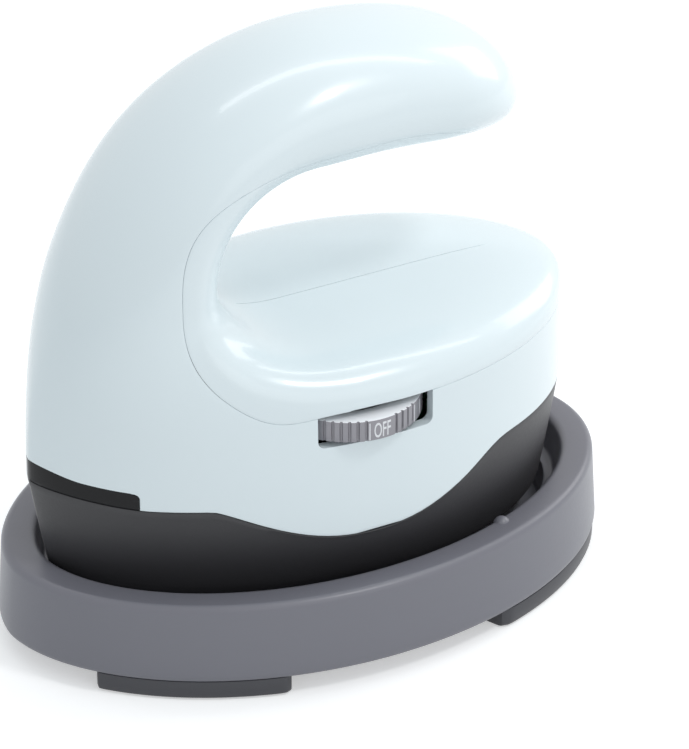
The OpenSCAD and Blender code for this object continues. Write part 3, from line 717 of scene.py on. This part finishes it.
def wave_crossing(sec):
    """Running value where the section meets the wavy lower edge, or 2"""

    def above(p):
        x, z, _ = sec.place(p)
        return z - edge_at(x)

    return 2.0 if above(2.0) >= -1e-6 else halve(lambda p: above(p) > 0, 1.0, 2.0)


def mirrored(p):
    return (p[0], -p[1], p[2])


def back(sec, p, way):
    """Running value half of the seam's width from p along the section, on or back by way"""
    x0, z0, y0 = sec.place(p)
    q = p + math.copysign(1e-3, way)
    if not 0 <= q <= 2:
        return p
    x1, z1, y1 = sec.place(q)
    d = math.dist((x0, y0, z0), (x1, y1, z1))
    if d <= 1e-9:
        return p
    return min(max(p + math.copysign(1e-3, way) * (body().seam / 2) / d, 0.0), 2.0)


def cover_rows():
    """Sections of the inner cover, up to the seam"""
    secs, _, last = all_sections()
    line, rows = seam_line(), []
    for k, sec in enumerate(secs[: last + 1]):
        ps = sec.crossing(line) if k < last else 0.0
        half = strand(sec, 0.0, back(sec, ps, -1))
        half[0] = (half[0][0], 0.0, half[0][2])
        rows.append([mirrored(p) for p in reversed(half)] + half[1:])
    return rows


def shell_rows():
    """Sections of the shell, from the seam to its lower edge or its middle line"""
    secs, nose, last = all_sections()
    line, rows = seam_line(), []
    for k, sec in enumerate(secs):
        ps = sec.crossing(line) if k < last else 0.0
        pe = wave_crossing(sec) if k < nose else 2.0
        half = strand(sec, back(sec, ps, 1) if ps > 0 else 0.0, pe)
        if pe == 2.0:
            half[-1] = (half[-1][0], 0.0, half[-1][2])
        rows.append([mirrored(p) for p in half] + half[::-1])
    return rows, nose


def face_towards(o, near, way):
    """Turns the whole sheet over if its face nearest to a point looks the wrong way"""
    spot, way = Vector(near) * MM, Vector(way)
    best = min(o.data.polygons, key=lambda f: (f.center - spot).length)
    if best.normal.dot(way) < 0:
        pick(o)
        with editing():
            bpy.ops.mesh.flip_normals()


# ---- materials
def fill(node, values):
    """Sets inputs of a shader node"""
    for name, value in values.items():
        node.inputs[name].default_value = value
    return node


def blank(owner):
    """The emptied nodes and links of a material or a world"""
    owner.use_nodes = True
    owner.node_tree.nodes.clear()
    return owner.node_tree.nodes, owner.node_tree.links


def shader(nodes, kind, values=None):
    """A new shader node with its inputs set"""
    return fill(nodes.new("ShaderNode" + kind), values or {})


COAT_ROUGH = 0.06
GRAIN_DETAIL = 3.0
# Height of the grain at full strength, in metres, and its effect on the roughness
GRAIN_HEIGHT = 0.0002
ROUGH_LOW, ROUGH_HIGH = 0.85, 1.15


def material(name, colour, rough, grain, bump, metal=0.0, coat=0.0, specular=0.5, through=0.0):
    """A finish with a fine procedural grain, in object coordinates"""
    m = bpy.data.materials.get(name)
    if m:
        return m
    m = bpy.data.materials.new(name)
    m.use_nodes = True
    nodes, links = m.node_tree.nodes, m.node_tree.links
    p = nodes["Principled BSDF"]
    fill(p, {"Base Color": (*colour, 1), "Roughness": rough, "Metallic": metal, "Coat Weight": coat,
             "Coat Roughness": COAT_ROUGH, "Specular IOR Level": specular,
             "Transmission Weight": through})
    where = shader(nodes, "TexCoord")
    noise = shader(nodes, "TexNoise", {"Scale": grain, "Detail": GRAIN_DETAIL})
    links.new(where.outputs["Object"], noise.inputs["Vector"])
    lift = shader(nodes, "Bump", {"Strength": bump, "Distance": GRAIN_HEIGHT})
    links.new(noise.outputs["Fac"], lift.inputs["Height"])
    links.new(lift.outputs["Normal"], p.inputs["Normal"])
    reach = {"To Min": rough * ROUGH_LOW, "To Max": min(rough * ROUGH_HIGH, 1.0)}
    spread = shader(nodes, "MapRange", reach)
    links.new(noise.outputs["Fac"], spread.inputs["Value"])
    links.new(spread.outputs["Result"], p.inputs["Roughness"])
    return m


def finish(o, mat):
    o.data.materials.clear()
    o.data.materials.append(mat)


def shell_finish():
    return material("gloss_shell", colours().shell, 0.24, 900, 0.02, coat=0.4)


# ---- operators
# Softened edges of the mouldings: width and angle limit. Then half of the cutters' breadth
EDGE_SOFT = 0.12
EDGE_ANGLE = 60
FAR_Y = 60
STRIP_CORNER = 1.3
# Dial's window: ends, depth below the seam, corner radius and the side that it opens to
WINDOW_X0, WINDOW_X1 = -14.1, 12.6
WINDOW_DROP = 6.3
WINDOW_CORNER = 1.6
WINDOW_Y = -26
# Cord inlet at the heel
INLET_Z = 51.6
INLET_R = 5.15
# Line along the middle of the deck: its ends, half of its width, and its depth
LINE_X0, LINE_X1 = -15, 46.8
LINE_HALF_W = 0.08
LINE_DEPTH = 0.4


def strip_outline(grow, low):
    """Side view of the indicator strip, grown at its end and top and lowered at its foot"""
    xs = [STRIP_FROM_X + k * 0.5 for k in range(45)]
    end, r, top = STRIP_X + grow, STRIP_CORNER, strip_top(STRIP_X) + grow
    out = [(x, edge_at(x) - low) for x in xs] + [(end, edge_at(STRIP_X) - low)]
    for k in range(9):
        a = 90 * k / 8
        out.append((end - r + r * cosd(a), top - r + r * sind(a)))
    return out + [(x, strip_top(x) + grow) for x in reversed(xs) if x < STRIP_X - r - 0.3]


def window_outline():
    """Side view of the dial's window, with its lower corners rounded"""
    top, low, r = seam_z() + 0.5, seam_z() - WINDOW_DROP, WINDOW_CORNER
    quarter = range(0, 91, 15)
    out = [(WINDOW_X0, top), (WINDOW_X0, low + 0.1)]
    out += [(WINDOW_X0 + r - r * cosd(a), low - r * sind(a)) for a in quarter]
    out += [(WINDOW_X1 - r + r * sind(a), low - r * cosd(a)) for a in quarter]
    return out + [(WINDOW_X1, low + 0.1), (WINDOW_X1, top)]


class HEATPRESS_OT_shell(bpy.types.Operator):
    """Pale gloss shell with its wavy lower edge, dial window and indicator strip"""

    bl_idname = "heatpress.shell"
    bl_label = "Shell"
    bl_options = {"REGISTER", "UNDO"}

    def execute(self, context):
        measure()
        n = HALF_POINTS
        rows, nose = shell_rows()
        o = sheet("shell", rows, [r * (2 * n + 1) + n for r in range(nose)])
        face_towards(o, (CROWN_X, 0, crown_z()), (0, 0, 1))
        thicken(o, body().wall)
        soften(o, EDGE_SOFT, EDGE_ANGLE)
        lens = self.strip(o)
        carve(o, side_prism("strip_cut", strip_outline(0.0, 2.0), -FAR_Y, FAR_Y))
        carve(o, side_prism("window_cut", window_outline(), -FAR_Y, WINDOW_Y))
        carve(o, rod("inlet_cut", (body().heel_x, 0, INLET_Z), INLET_R, 20, "X", 48))
        finish(o, shell_finish())
        shade(o, 30)
        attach(o, "press")
        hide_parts("handle_shell")
        finish(lens, material("black_gloss", (0.003, 0.003, 0.004), 0.12, 500, 0.01, specular=0.25))
        shade(lens, 30)
        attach(lens, "press")
        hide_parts("indicator_window")
        return {"FINISHED"}

    def strip(self, shell):
        """The indicator strip: the shell's own form inside the strip's outline"""
        pick(shell)
        bpy.ops.object.duplicate()
        lens = named("indicator_strip")
        keep = side_prism("strip_keep", strip_outline(-0.1, -0.12), -FAR_Y, FAR_Y)
        carve(lens, keep, "INTERSECT")
        return lens


class HEATPRESS_OT_cover(bpy.types.Operator):
    """Inner cover: the deck, the inner bend and the handle's underside"""

    bl_idname = "heatpress.cover"
    bl_label = "Inner cover"
    bl_options = {"REGISTER", "UNDO"}

    def execute(self, context):
        measure()
        o = sheet("cover", cover_rows())
        face_towards(o, (30, 0, body().deck_z), (0, 0, 1))
        thicken(o, body().wall)
        soften(o, EDGE_SOFT, EDGE_ANGLE)
        top, y = body().deck_z, LINE_HALF_W
        carve(o, block("deck_line", (LINE_X0, -y, top - LINE_DEPTH), (LINE_X1, y, top + 2)))
        finish(o, shell_finish())
        shade(o, 30)
        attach(o, "press")
        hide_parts("inner_cover")
        return {"FINISHED"}


def egg_point(a, nose, heel, half, nose_full, heel_full, mid):
    """Point of an egg-shaped outline at angle a"""
    c, s = cosd(a), abs(sind(a))
    if c >= 0:
        x, y = mid + (heel - mid) * c, half * s ** (2 / heel_full)
    else:
        x, y = mid + (nose + mid) * c, half * s ** (2 / nose_full)
    return x, math.copysign(y, sind(a))


def plan_point(a, i):
    b = body()
    nose, heel, half = b.nose_x - NOSE_INSET * i, b.heel_x - i, b.half_w - i
    return egg_point(a, nose, heel, half, NOSE_FULL, HEEL_FULL, BROAD_X)


# Base outline: its fullness at the edge, at the rim's inner edge and at the heel
BASE_FULL, RIM_FULL, BASE_HEEL_FULL = 1.78, 1.84, 1.94
BASE_NOSE_INSET = 1.1


def base_point(a, i):
    b = base()
    full = mix(BASE_FULL, RIM_FULL, min(i / b.rim_w, 1.0))
    nose, heel, half = b.reach - BASE_NOSE_INSET * i, b.reach - i, b.half_w - i
    return egg_point(a, nose, heel, half, full, BASE_HEEL_FULL, 0.0)


def turns(n):
    """Angles round an outline, closer together where its ends turn tightly"""
    return [360 * k / n - 7 * sind(720 * k / n) for k in range(n)]


def pole(ring):
    """A ring drawn together to one point, which closes a form"""
    cx = sum(p[0] for p in ring) / len(ring)
    z = sum(p[2] for p in ring) / len(ring)
    return [(cx, 0.0, z)] * len(ring)


# Housing: height of its foot, how far the foot is drawn in, and the steps of its side
HOUSE_Z = 17.5
HOUSE_TAPER = 4.3
HOUSE_STEPS = 16
# Housing's tongue: gap to the shell, height, and its start and run behind the indicator strip
TONGUE_GAP = 0.35
TONGUE_H = 2.5
TONGUE_X, TONGUE_RUN = -48.5, 2


class HEATPRESS_OT_housing(bpy.types.Operator):
    """Dark lower housing with its wavy upper edge and tucked skirt"""

    bl_idname = "heatpress.housing"
    bl_label = "Lower housing"
    bl_options = {"REGISTER", "UNDO"}

    def ring(self, t, inset, dz=0.0, lip=0.0, z=HOUSE_Z):
        """Ring at share t of the way from height z to the wavy edge, moved by dz and the lip"""
        out = []
        for a in turns(240):
            x, y = plan_point(a, inset)
            top = edge_at(x) + dz + lip * smooth((x - TONGUE_X) / TONGUE_RUN)
            out.append((x, y, mix(z, top, t)))
        return out

    def execute(self, context):
        measure()
        low, inner, ring = HOUSE_TAPER, body().wall + TONGUE_GAP, self.ring
        rings = [ring(0, low + 2.2, z=24.0), ring(0, low + 2.2, z=HOUSE_Z + 0.2)]
        rings += [ring(0, low + 2.0), ring(0, low + 0.3), ring(0.004, low + 0.08)]
        for k in range(1, HOUSE_STEPS + 1):
            t = k / HOUSE_STEPS
            rings.append(ring(t * 0.985, mix(low, 0.12, t ** 0.9), -0.25 if t == 1 else 0.0))
        rings += [ring(1, 0.2, -0.28), ring(1, 0.4, -0.2), ring(1, inner, -0.2)]
        rings += [ring(1, inner, 0, TONGUE_H), ring(1, inner + 1.1, 0, TONGUE_H)]
        rings += [ring(0.5, low * 0.6 + 2.6), ring(0, low + 2.2, z=26.5)]
        rings = [pole(rings[0])] + rings + [pole(rings[-1])]
        o = closed("housing", rings)
        finish(o, material("matte_charcoal", colours().housing, 0.42, 1500, 0.12))
        shade(o, 35)
        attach(o, "press")
        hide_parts("lower_housing")
        return {"FINISHED"}


# Dial: how deep each point of one tooth's pitch lies, from its crest to its groove
PITCH = (0, 0, 0, 0, 0, 0, 0, 0.9, 1, 0.9)
# Its place along X, how far it stands out of the body and how far it lies below the seam
DIAL_X = -0.8
DIAL_OUT = 2.5
DIAL_DROP = 6.7
# Its first lettered segment, the turn from one setting to the next, and a segment's turn
DIAL_START, DIAL_STEP, PLAIN_TURN = 257.0, 45.0, 20.0
SETTINGS = ("OFF", "1", "2", "3")
# Lettering: its size, how much narrower it is, and the turn of a word and of a bar
WORD_SIZE = 5.0
WORD_NARROW = 0.46
WORD_TURN, BAR_TURN = 12.0, 1.5


class HEATPRESS_OT_dial(bpy.types.Operator):
    """Toothed dial with plain lettered segments and a silver top, painted near-white as if lit"""

    bl_idname = "heatpress.dial"
    bl_label = "Dial"
    bl_options = {"REGISTER", "UNDO"}

    def is_plain(self, a):
        turn = (a - DIAL_START) % 360
        return turn < len(SETTINGS) * DIAL_STEP and turn % DIAL_STEP < PLAIN_TURN

    def ring(self, r, z, tooth=0.0):
        out, n = [], dial().teeth * len(PITCH)
        for k in range(n):
            a = 360 * k / n
            fall = 0.0 if self.is_plain(a) else tooth * PITCH[k % len(PITCH)]
            out.append(((r - fall) * cosd(a), (r - fall) * sind(a), z))
        return out

    def execute(self, context):
        measure()
        d, ring = dial(), self.ring
        r, h, t = d.radius, d.height, d.tooth
        rings = [ring(0, -2.5), ring(4.6, -2.5), ring(4.6, 0), ring(r - 0.6, 0)]
        rings += [ring(r - 0.15, 0.12, t), ring(r, 0.4, t), ring(r, h - 0.2, t)]
        rings += [ring(r - 0.06, h - 0.08, t), ring(r - 0.14, h - 0.04, t), ring(r - t - 0.2, h - 0.02)]
        rings += [ring(r - 1.0, h), ring(r - 1.5, h), ring(r - 5.0, h), ring(r - 5.2, h - 0.1)]
        rings += [ring(r - 5.4, h - 0.6), ring(4.2, h - 0.6), ring(4.0, h - 0.4), ring(3.8, h)]
        o = closed("dial", rings + [ring(0, h)])
        # Near-white finish for the top faces: the dial's silver top with painted light on it, much
        # lighter than the sides because the top is lit
        painted_lit_top = material("dial_top_painted_light", (0.90, 0.90, 0.92), 0.3, 700, 0.003)
        finish(o, material("dial_gray", colours().dial, 0.36, 1200, 0.05, metal=0.25))
        o.data.materials.append(painted_lit_top)
        # Faces at the very top, the teeth's upper edges included, take the near-white finish: a painted
        # highlight on the lit top
        for f in o.data.polygons:
            if f.center.z > (h - 0.09) * MM:
                f.material_index = 1
        shade(o, 30)
        starts = [DIAL_START + DIAL_STEP * k for k in range(len(SETTINGS))]
        bars = [self.bar(a + BAR_TURN) for a in starts]
        mark = join(*bars, *[self.word(text, a + WORD_TURN) for text, a in zip(SETTINGS, starts)])
        mark.name = "dial_marks"
        finish(mark, material("light_ink", (0.80, 0.80, 0.82), 0.45, 900, 0.01))
        y = r - body().half_w - DIAL_OUT
        for piece in (o, mark):
            piece.location = (DIAL_X * MM, y * MM, (seam_z() - DIAL_DROP) * MM)
            put_down(piece)
            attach(piece, "dial")
        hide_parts("temperature_dial")
        return {"FINISHED"}

    def bar(self, a):
        """Upright bar that marks a setting"""
        r = dial().radius
        o = block("bar", (-0.12, -r - 0.03, 0.35), (0.12, -r + 0.2, dial().height - 0.6))
        o.rotation_euler = (0, 0, math.radians(a - 270))
        put_down(o)
        return o

    def word(self, text, a):
        """Lettering bent round the rim, with its middle at angle a"""
        deselect()
        bpy.ops.object.text_add()
        o = bpy.context.object
        o.data.body = text
        o.data.size = WORD_SIZE * MM
        o.data.align_x = "CENTER"
        o.data.align_y = "CENTER"
        o.data.extrude = 0.03 * MM
        o.data.offset = 0.05 * MM
        o.data.resolution_u = 4
        bpy.ops.object.convert(target="MESH")
        o = named("word")
        weld(WORD_WELD)
        r = dial().radius
        for v in o.data.vertices:
            x, y, z = v.co / MM
            turn = a + math.degrees(x * WORD_NARROW / r)
            z += r
            v.co = Vector((z * cosd(turn), z * sind(turn), dial().height * 0.5 - 0.25 + y)) * MM
        o.data.update()
        return o


# Base: draft of its wall, thickness of its floor, depth of the ledge below the rim and its width
DRAFT = 0.8
FLOOR_T = 3.5
LEDGE_DROP = 7.7
LEDGE_W = 3.1
# Locating ribs inside the rim: place, radius and height of the top below the rim
RIB_X, RIB_Y = 31, 34.9
RIB_R = 1.9
RIB_DROP = 1.0
GUSSET_TURNS = (32, 62, 90, 118, 148)


class HEATPRESS_OT_base(bpy.types.Operator):
    """Gray safety base with its rounded rim, ledge and floor"""

    bl_idname = "heatpress.base"
    bl_label = "Safety base"
    bl_options = {"REGISTER", "UNDO"}

    def ring(self, inset, z):
        return [(*base_point(a, inset), z) for a in turns(300)]

    def gusset(self, a, inset, floor, ledge):
        """Thin slanting web between the well's wall and its floor"""
        x, y = base_point(a, inset)
        top, foot = ledge - 0.5, floor - 0.3
        side = [(1.8, foot), (1.8, top), (0.2, top), (-4.0, floor + 0.5), (-4.0, foot)]
        o = side_prism("gusset", side, -0.8, 0.8)
        soften(o, 0.25, 40)
        o.rotation_euler = (0, 0, math.atan2(y, x))
        o.location = (x * MM, y * MM, 0)
        put_down(o)
        return o

    def rib(self, y, rim, ledge):
        """Upright rib with a round top, in two pieces"""
        deselect()
        place = (RIB_X * MM, y * MM, (rim - RIB_DROP) * MM)
        bpy.ops.mesh.primitive_uv_sphere_add(
            segments=32, ring_count=16, radius=RIB_R * MM, location=place)
        ball = named("rib_top")
        put_down(ball)
        middle = (RIB_X, y + math.copysign(0.2, y), (rim + ledge) / 2 - RIB_DROP / 2)
        return [ball, rod("rib", middle, RIB_R, rim - ledge - RIB_DROP, "Z", 32)]

    def execute(self, context):
        measure()
        b = base()
        lo, rim, r = b.foot_h, b.foot_h + b.height, b.rim_r
        floor, ledge, outer = lo + FLOOR_T, rim - LEDGE_DROP, DRAFT + b.rim_w
        # Inset and height of each ring, from the underside over the rim to the well's floor
        levels = [(0.9, lo), (0.5, lo + 0.1), (0.2, lo + 0.45), (0.05, lo + 1.0), (0.0, lo + 1.6)]
        levels += [(mix(0.0, DRAFT, k / 4), mix(lo + 1.6, rim - r, k / 4)) for k in range(1, 5)]
        for a in (11, 22, 34, 45, 56, 68, 79, 90):
            levels.append((DRAFT + r * (1 - cosd(a)), rim - r * (1 - sind(a))))
        levels.append((outer - r - 0.1, rim))
        for a in (15, 30, 45, 60, 75, 90):
            levels.append((outer - r * (1 - sind(a)), rim - r * (1 - cosd(a))))
        levels += [(outer + 0.8, ledge + 1.0), (outer + 1.2, ledge + 0.3), (outer + 1.8, ledge)]
        levels += [(outer + LEDGE_W, ledge), (outer + 3.5, ledge - 0.2), (outer + 3.7, ledge - 0.6)]
        levels += [(outer + 4.3, floor + 0.4), (outer + 4.7, floor)]
        rings = [self.ring(i, z) for i, z in levels]
        o = closed("base", [pole(rings[0])] + rings + [pole(rings[-1])])
        ribs = self.rib(-RIB_Y, rim, ledge) + self.rib(RIB_Y, rim, ledge)
        for a in GUSSET_TURNS:
            ribs += [self.gusset(s * a, outer + LEDGE_W, floor, ledge) for s in (1, -1)]
        finish(o, material("satin_gray", colours().base, 0.34, 1400, 0.08, specular=0.6))
        shade(o, 35)
        for rib in ribs:
            finish(rib, o.data.materials[0])
            shade(rib, 40)
        o = join(o, *ribs)
        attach(o, "safety_base")
        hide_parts("base_tray")
        return {"FINISHED"}


# Feet: turns that they take, steps along each, middle of their inset from the base's outline, and
# inset and height of each point of their section between its upper edges
FOOT_TURNS = ((18.0, 66.5), (110.8, 150.5))
FOOT_STEPS = 40
FOOT_MID = 5.6
FOOT_SECTION = ((0.45, 0.9), (0.7, 0.35), (1.2, 0.06), (2.0, 0), (9.6, 0), (10.3, 0.1), (10.7, 0.4),
                (10.9, 0.9))


class HEATPRESS_OT_feet(bpy.types.Operator):
    """Four curved rubber feet under the base's rim"""

    bl_idname = "heatpress.feet"
    bl_label = "Rubber feet"
    bl_options = {"REGISTER", "UNDO"}

    def foot(self, a0, a1, s):
        """Curved foot between two turns, on side s, a little narrower at its ends"""
        h, rows = base().foot_h, []
        section = ((0.4, h), (0.4, h * 0.5), *FOOT_SECTION, (11.0, h))
        for k in range(FOOT_STEPS + 1):
            t = k / FOOT_STEPS
            end = 1 - abs(2 * t - 1)
            w = 0.8 + 0.2 * root(1 - max(0.0, 1 - end * 11) ** 2, 2)
            row = []
            for i, z in section:
                x, y = base_point(mix(a0, a1, t), FOOT_MID + (i - FOOT_MID) * w)
                row.append((x, s * y, z))
            rows.append(row + row[:1])
        ends = []
        for row in (rows[0], rows[-1]):
            middle = tuple(sum(p[j] for p in row[:-1]) / (len(row) - 1) for j in range(3))
            ends.append([middle] * len(row))
        o = sheet("foot", [ends[0]] + rows + [ends[1]])
        outward(o)
        return o

    def execute(self, context):
        measure()
        o = join(*[self.foot(a0, a1, s) for s in (-1, 1) for a0, a1 in FOOT_TURNS])
        o.name = "feet"
        soften(o, 0.3, 60)
        finish(o, material("foot_rubber", colours().foot, 0.6, 1500, 0.08, specular=0.08))
        shade(o, 35)
        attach(o, "safety_base")
        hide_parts("rubber_feet")
        return {"FINISHED"}


# Finish, colour, roughness, grain, bump, metal, and the nodes that have it
FITTINGS = (
    ("plate_alloy", (0.36, 0.36, 0.37), 0.38, 1800, 0.05, 0.9, "soleplate"),
    ("steel", (0.56, 0.57, 0.59), 0.3, 1200, 0.05, 1.0,
     "heating_element sensor_clip heat_shield soleplate_screws housing_screws led_screws board_screws"
     " dial_screw clamp_screws"),
    ("amber_glass", (0.55, 0.32, 0.08), 0.12, 800, 0.02, 0.0, "temperature_sensor"),
    ("fuse_can", (0.55, 0.47, 0.28), 0.34, 900, 0.03, 0.8, "thermal_fuse capacitor"),
    ("fibre", (0.78, 0.75, 0.64), 0.9, 2200, 0.6, 0.0, "insulation_pad"),
    ("ceramic", (0.84, 0.83, 0.78), 0.6, 1500, 0.1, 0.0, "standoffs"),
    ("red_silicone", (0.30, 0.035, 0.03), 0.6, 1500, 0.1, 0.0, "rest_pads"),
    ("board_green", (0.02, 0.12, 0.04), 0.35, 1800, 0.05, 0.0, "led_board control_board"),
    ("relay_blue", (0.02, 0.06, 0.30), 0.3, 1000, 0.03, 0.0, "relay"),
    ("terminal_green", (0.03, 0.22, 0.06), 0.45, 1400, 0.06, 0.0, "terminal_block"),
    ("black_nylon", (0.02, 0.02, 0.022), 0.5, 1500, 0.1, 0.0, "rotary_switch cord_clamp"),
    ("shaft_white", (0.72, 0.72, 0.68), 0.45, 1200, 0.05, 0.0, "dial_shaft"),
    ("lead_white", (0.78, 0.78, 0.75), 0.6, 1500, 0.08, 0.0, "heater_leads"),
    ("bushing_rubber", (0.02, 0.02, 0.023), 0.55, 1600, 0.12, 0.0, "cord_bushing"),
)


class HEATPRESS_OT_fittings(bpy.types.Operator):
    """Finishes for the plate, heater, boards, screws and other small parts"""

    bl_idname = "heatpress.fittings"
    bl_label = "Fittings"
    bl_options = {"REGISTER", "UNDO"}

    def execute(self, context):
        measure()
        for name, colour, rough, grain, bump, metal, nodes in FITTINGS:
            for node in nodes.split():
                finish(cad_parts[node], material(name, colour, rough, grain, bump, metal))
        for node in ("light_guide", "indicator_leds"):
            clear = material("clear", (0.88, 0.90, 0.92), 0.1, 600, 0.01, through=0.8)
            finish(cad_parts[node], clear)
        return {"FINISHED"}


# Camera: its place in metres, its three axes (across, up and back), its lens and its sensor
CAMERA_AT = (-0.50837, -0.94933, 0.67137)
ACROSS = Vector((0.87715, -0.48021, 0.0))
UP = Vector((0.24001, 0.43840, 0.86614))
BACK = Vector((-0.41593, -0.75974, 0.49980))
LENS = 276.41
SENSOR = 36
# Point that the lamps face, and each lamp's place, length and width in metres, and power
AIM = Vector((0, 0, 0.08))
LAMPS = (
    ("top", (0.20, 0.18, 0.94), 1.3, 0.08, 1.4),
    ("key", (0.27, -0.42, 0.84), 0.14, 0.14, 1.55),
    ("side", (0.85, 0.10, 0.50), 0.5, 0.5, 1.9),
    ("front", (0.10, -0.85, 0.45), 0.9, 0.5, 0.8),
)
# Light of the surroundings, white of the background, and the floor's look
SKY_TINT, SKY_POWER = (0.90, 0.96, 1.0, 1), 0.67
WHITE = (1, 1, 1, 1)
FLOOR_GRAY = (0.8, 0.8, 0.8, 1)
FLOOR_GLOW = 0.42
# Floor: its size and its place just below the feet, in metres
FLOOR_SIZE = 6
FLOOR_Z = -0.0002


class HEATPRESS_OT_stage(bpy.types.Operator):
    """Pale floor, soft lamps and the camera"""

    bl_idname = "heatpress.stage"
    bl_label = "Stage"
    bl_options = {"REGISTER", "UNDO"}

    def seen(self, nodes, links):
        """1 for the rays that show the background: straight, mirrored and through glass"""
        path = shader(nodes, "LightPath")
        total = path.outputs["Is Camera Ray"]
        for ray in ("Is Glossy Ray", "Is Transmission Ray"):
            most = shader(nodes, "Math")
            most.operation = "MAXIMUM"
            links.new(total, most.inputs[0])
            links.new(path.outputs[ray], most.inputs[1])
            total = most.outputs[0]
        return total

    def lamp(self, name, place, long, wide, power):
        """A soft lamp that faces the press, its long side across the view"""
        deselect()
        bpy.ops.object.light_add(type="AREA", location=place)
        o = bpy.context.object
        o.name = name
        o.data.shape = "RECTANGLE"
        o.data.size = long
        o.data.size_y = wide
        o.data.energy = power
        z = (Vector(place) - AIM).normalized()
        x = (ACROSS - z * z.dot(ACROSS)).normalized()
        o.rotation_euler = Matrix((x, z.cross(x), z)).transposed().to_euler()

    def execute(self, context):
        measure()
        scene = bpy.context.scene
        deselect()
        bpy.ops.mesh.primitive_plane_add(size=FLOOR_SIZE, location=(0, 0, FLOOR_Z))
        floor = named("floor")
        put_down(floor)
        m = bpy.data.materials.new("floor_white")
        nodes, links = blank(m)
        out = shader(nodes, "OutputMaterial")
        matte = shader(nodes, "BsdfDiffuse", {"Color": FLOOR_GRAY})
        glow = shader(nodes, "Emission", {"Color": WHITE, "Strength": FLOOR_GLOW})
        add = shader(nodes, "AddShader")
        choose = shader(nodes, "MixShader")
        links.new(matte.outputs[0], add.inputs[0])
        links.new(glow.outputs[0], add.inputs[1])
        links.new(self.seen(nodes, links), choose.inputs["Fac"])
        links.new(matte.outputs[0], choose.inputs[1])
        links.new(add.outputs[0], choose.inputs[2])
        links.new(choose.outputs[0], out.inputs["Surface"])
        finish(floor, m)

        world = bpy.data.worlds.new("studio")
        scene.world = world
        nodes, links = blank(world)
        out = shader(nodes, "OutputWorld")
        soft = shader(nodes, "Background", {"Color": SKY_TINT, "Strength": SKY_POWER})
        white = shader(nodes, "Background", {"Color": WHITE, "Strength": 1.0})
        choose = shader(nodes, "MixShader")
        links.new(self.seen(nodes, links), choose.inputs["Fac"])
        links.new(soft.outputs[0], choose.inputs[1])
        links.new(white.outputs[0], choose.inputs[2])
        links.new(choose.outputs[0], out.inputs["Surface"])

        for name, place, long, wide, power in LAMPS:
            self.lamp(name, place, long, wide, power)

        deselect()
        bpy.ops.object.camera_add()
        cam = bpy.context.object
        cam.name = "camera"
        turn = Matrix((ACROSS, UP, BACK)).transposed().to_4x4()
        cam.matrix_world = Matrix.Translation(CAMERA_AT) @ turn
        cam.data.lens = LENS
        cam.data.sensor_width = SENSOR
        cam.data.clip_start = 0.05
        scene.camera = cam
        scene.view_settings.view_transform = "Standard"
        return {"FINISHED"}


class HEATPRESS_PT_panel(bpy.types.Panel):
    """Lists the press's sizes, colours and pieces"""

    bl_label = "Heat Press"
    bl_idname = "HEATPRESS_PT_panel"
    bl_space_type = "VIEW_3D"
    bl_region_type = "UI"
    bl_category = "Heat Press"

    def draw(self, context):
        col = self.layout.column()
        for key, cls in GROUPS.items():
            for name in cls.__annotations__:
                col.prop(getattr(context.scene, key), name)
        for op in OPERATORS:
            col.operator(op.bl_idname)


GROUPS = {
    "press_body": PressSizes, "press_base": BaseSizes,
    "press_dial": DialSizes, "press_finish": Finishes}
OPERATORS = [
    HEATPRESS_OT_shell, HEATPRESS_OT_cover, HEATPRESS_OT_housing, HEATPRESS_OT_dial,
    HEATPRESS_OT_base, HEATPRESS_OT_feet, HEATPRESS_OT_fittings, HEATPRESS_OT_stage]
CLASSES = [*GROUPS.values(), *OPERATORS, HEATPRESS_PT_panel]


def register():
    for cls in CLASSES:
        bpy.utils.register_class(cls)
    for name, cls in GROUPS.items():
        setattr(bpy.types.Scene, name, PointerProperty(type=cls))


def unregister():
    for name in GROUPS:
        delattr(bpy.types.Scene, name)
    for cls in reversed(CLASSES):
        bpy.utils.unregister_class(cls)


def main():
    register()
    bpy.ops.heatpress.shell()
    bpy.ops.heatpress.cover()
    bpy.ops.heatpress.housing()
    bpy.ops.heatpress.dial()
    bpy.ops.heatpress.base()
    bpy.ops.heatpress.feet()
    bpy.ops.heatpress.fittings()
    bpy.ops.heatpress.stage()


if __name__ == "__main__":
    main()
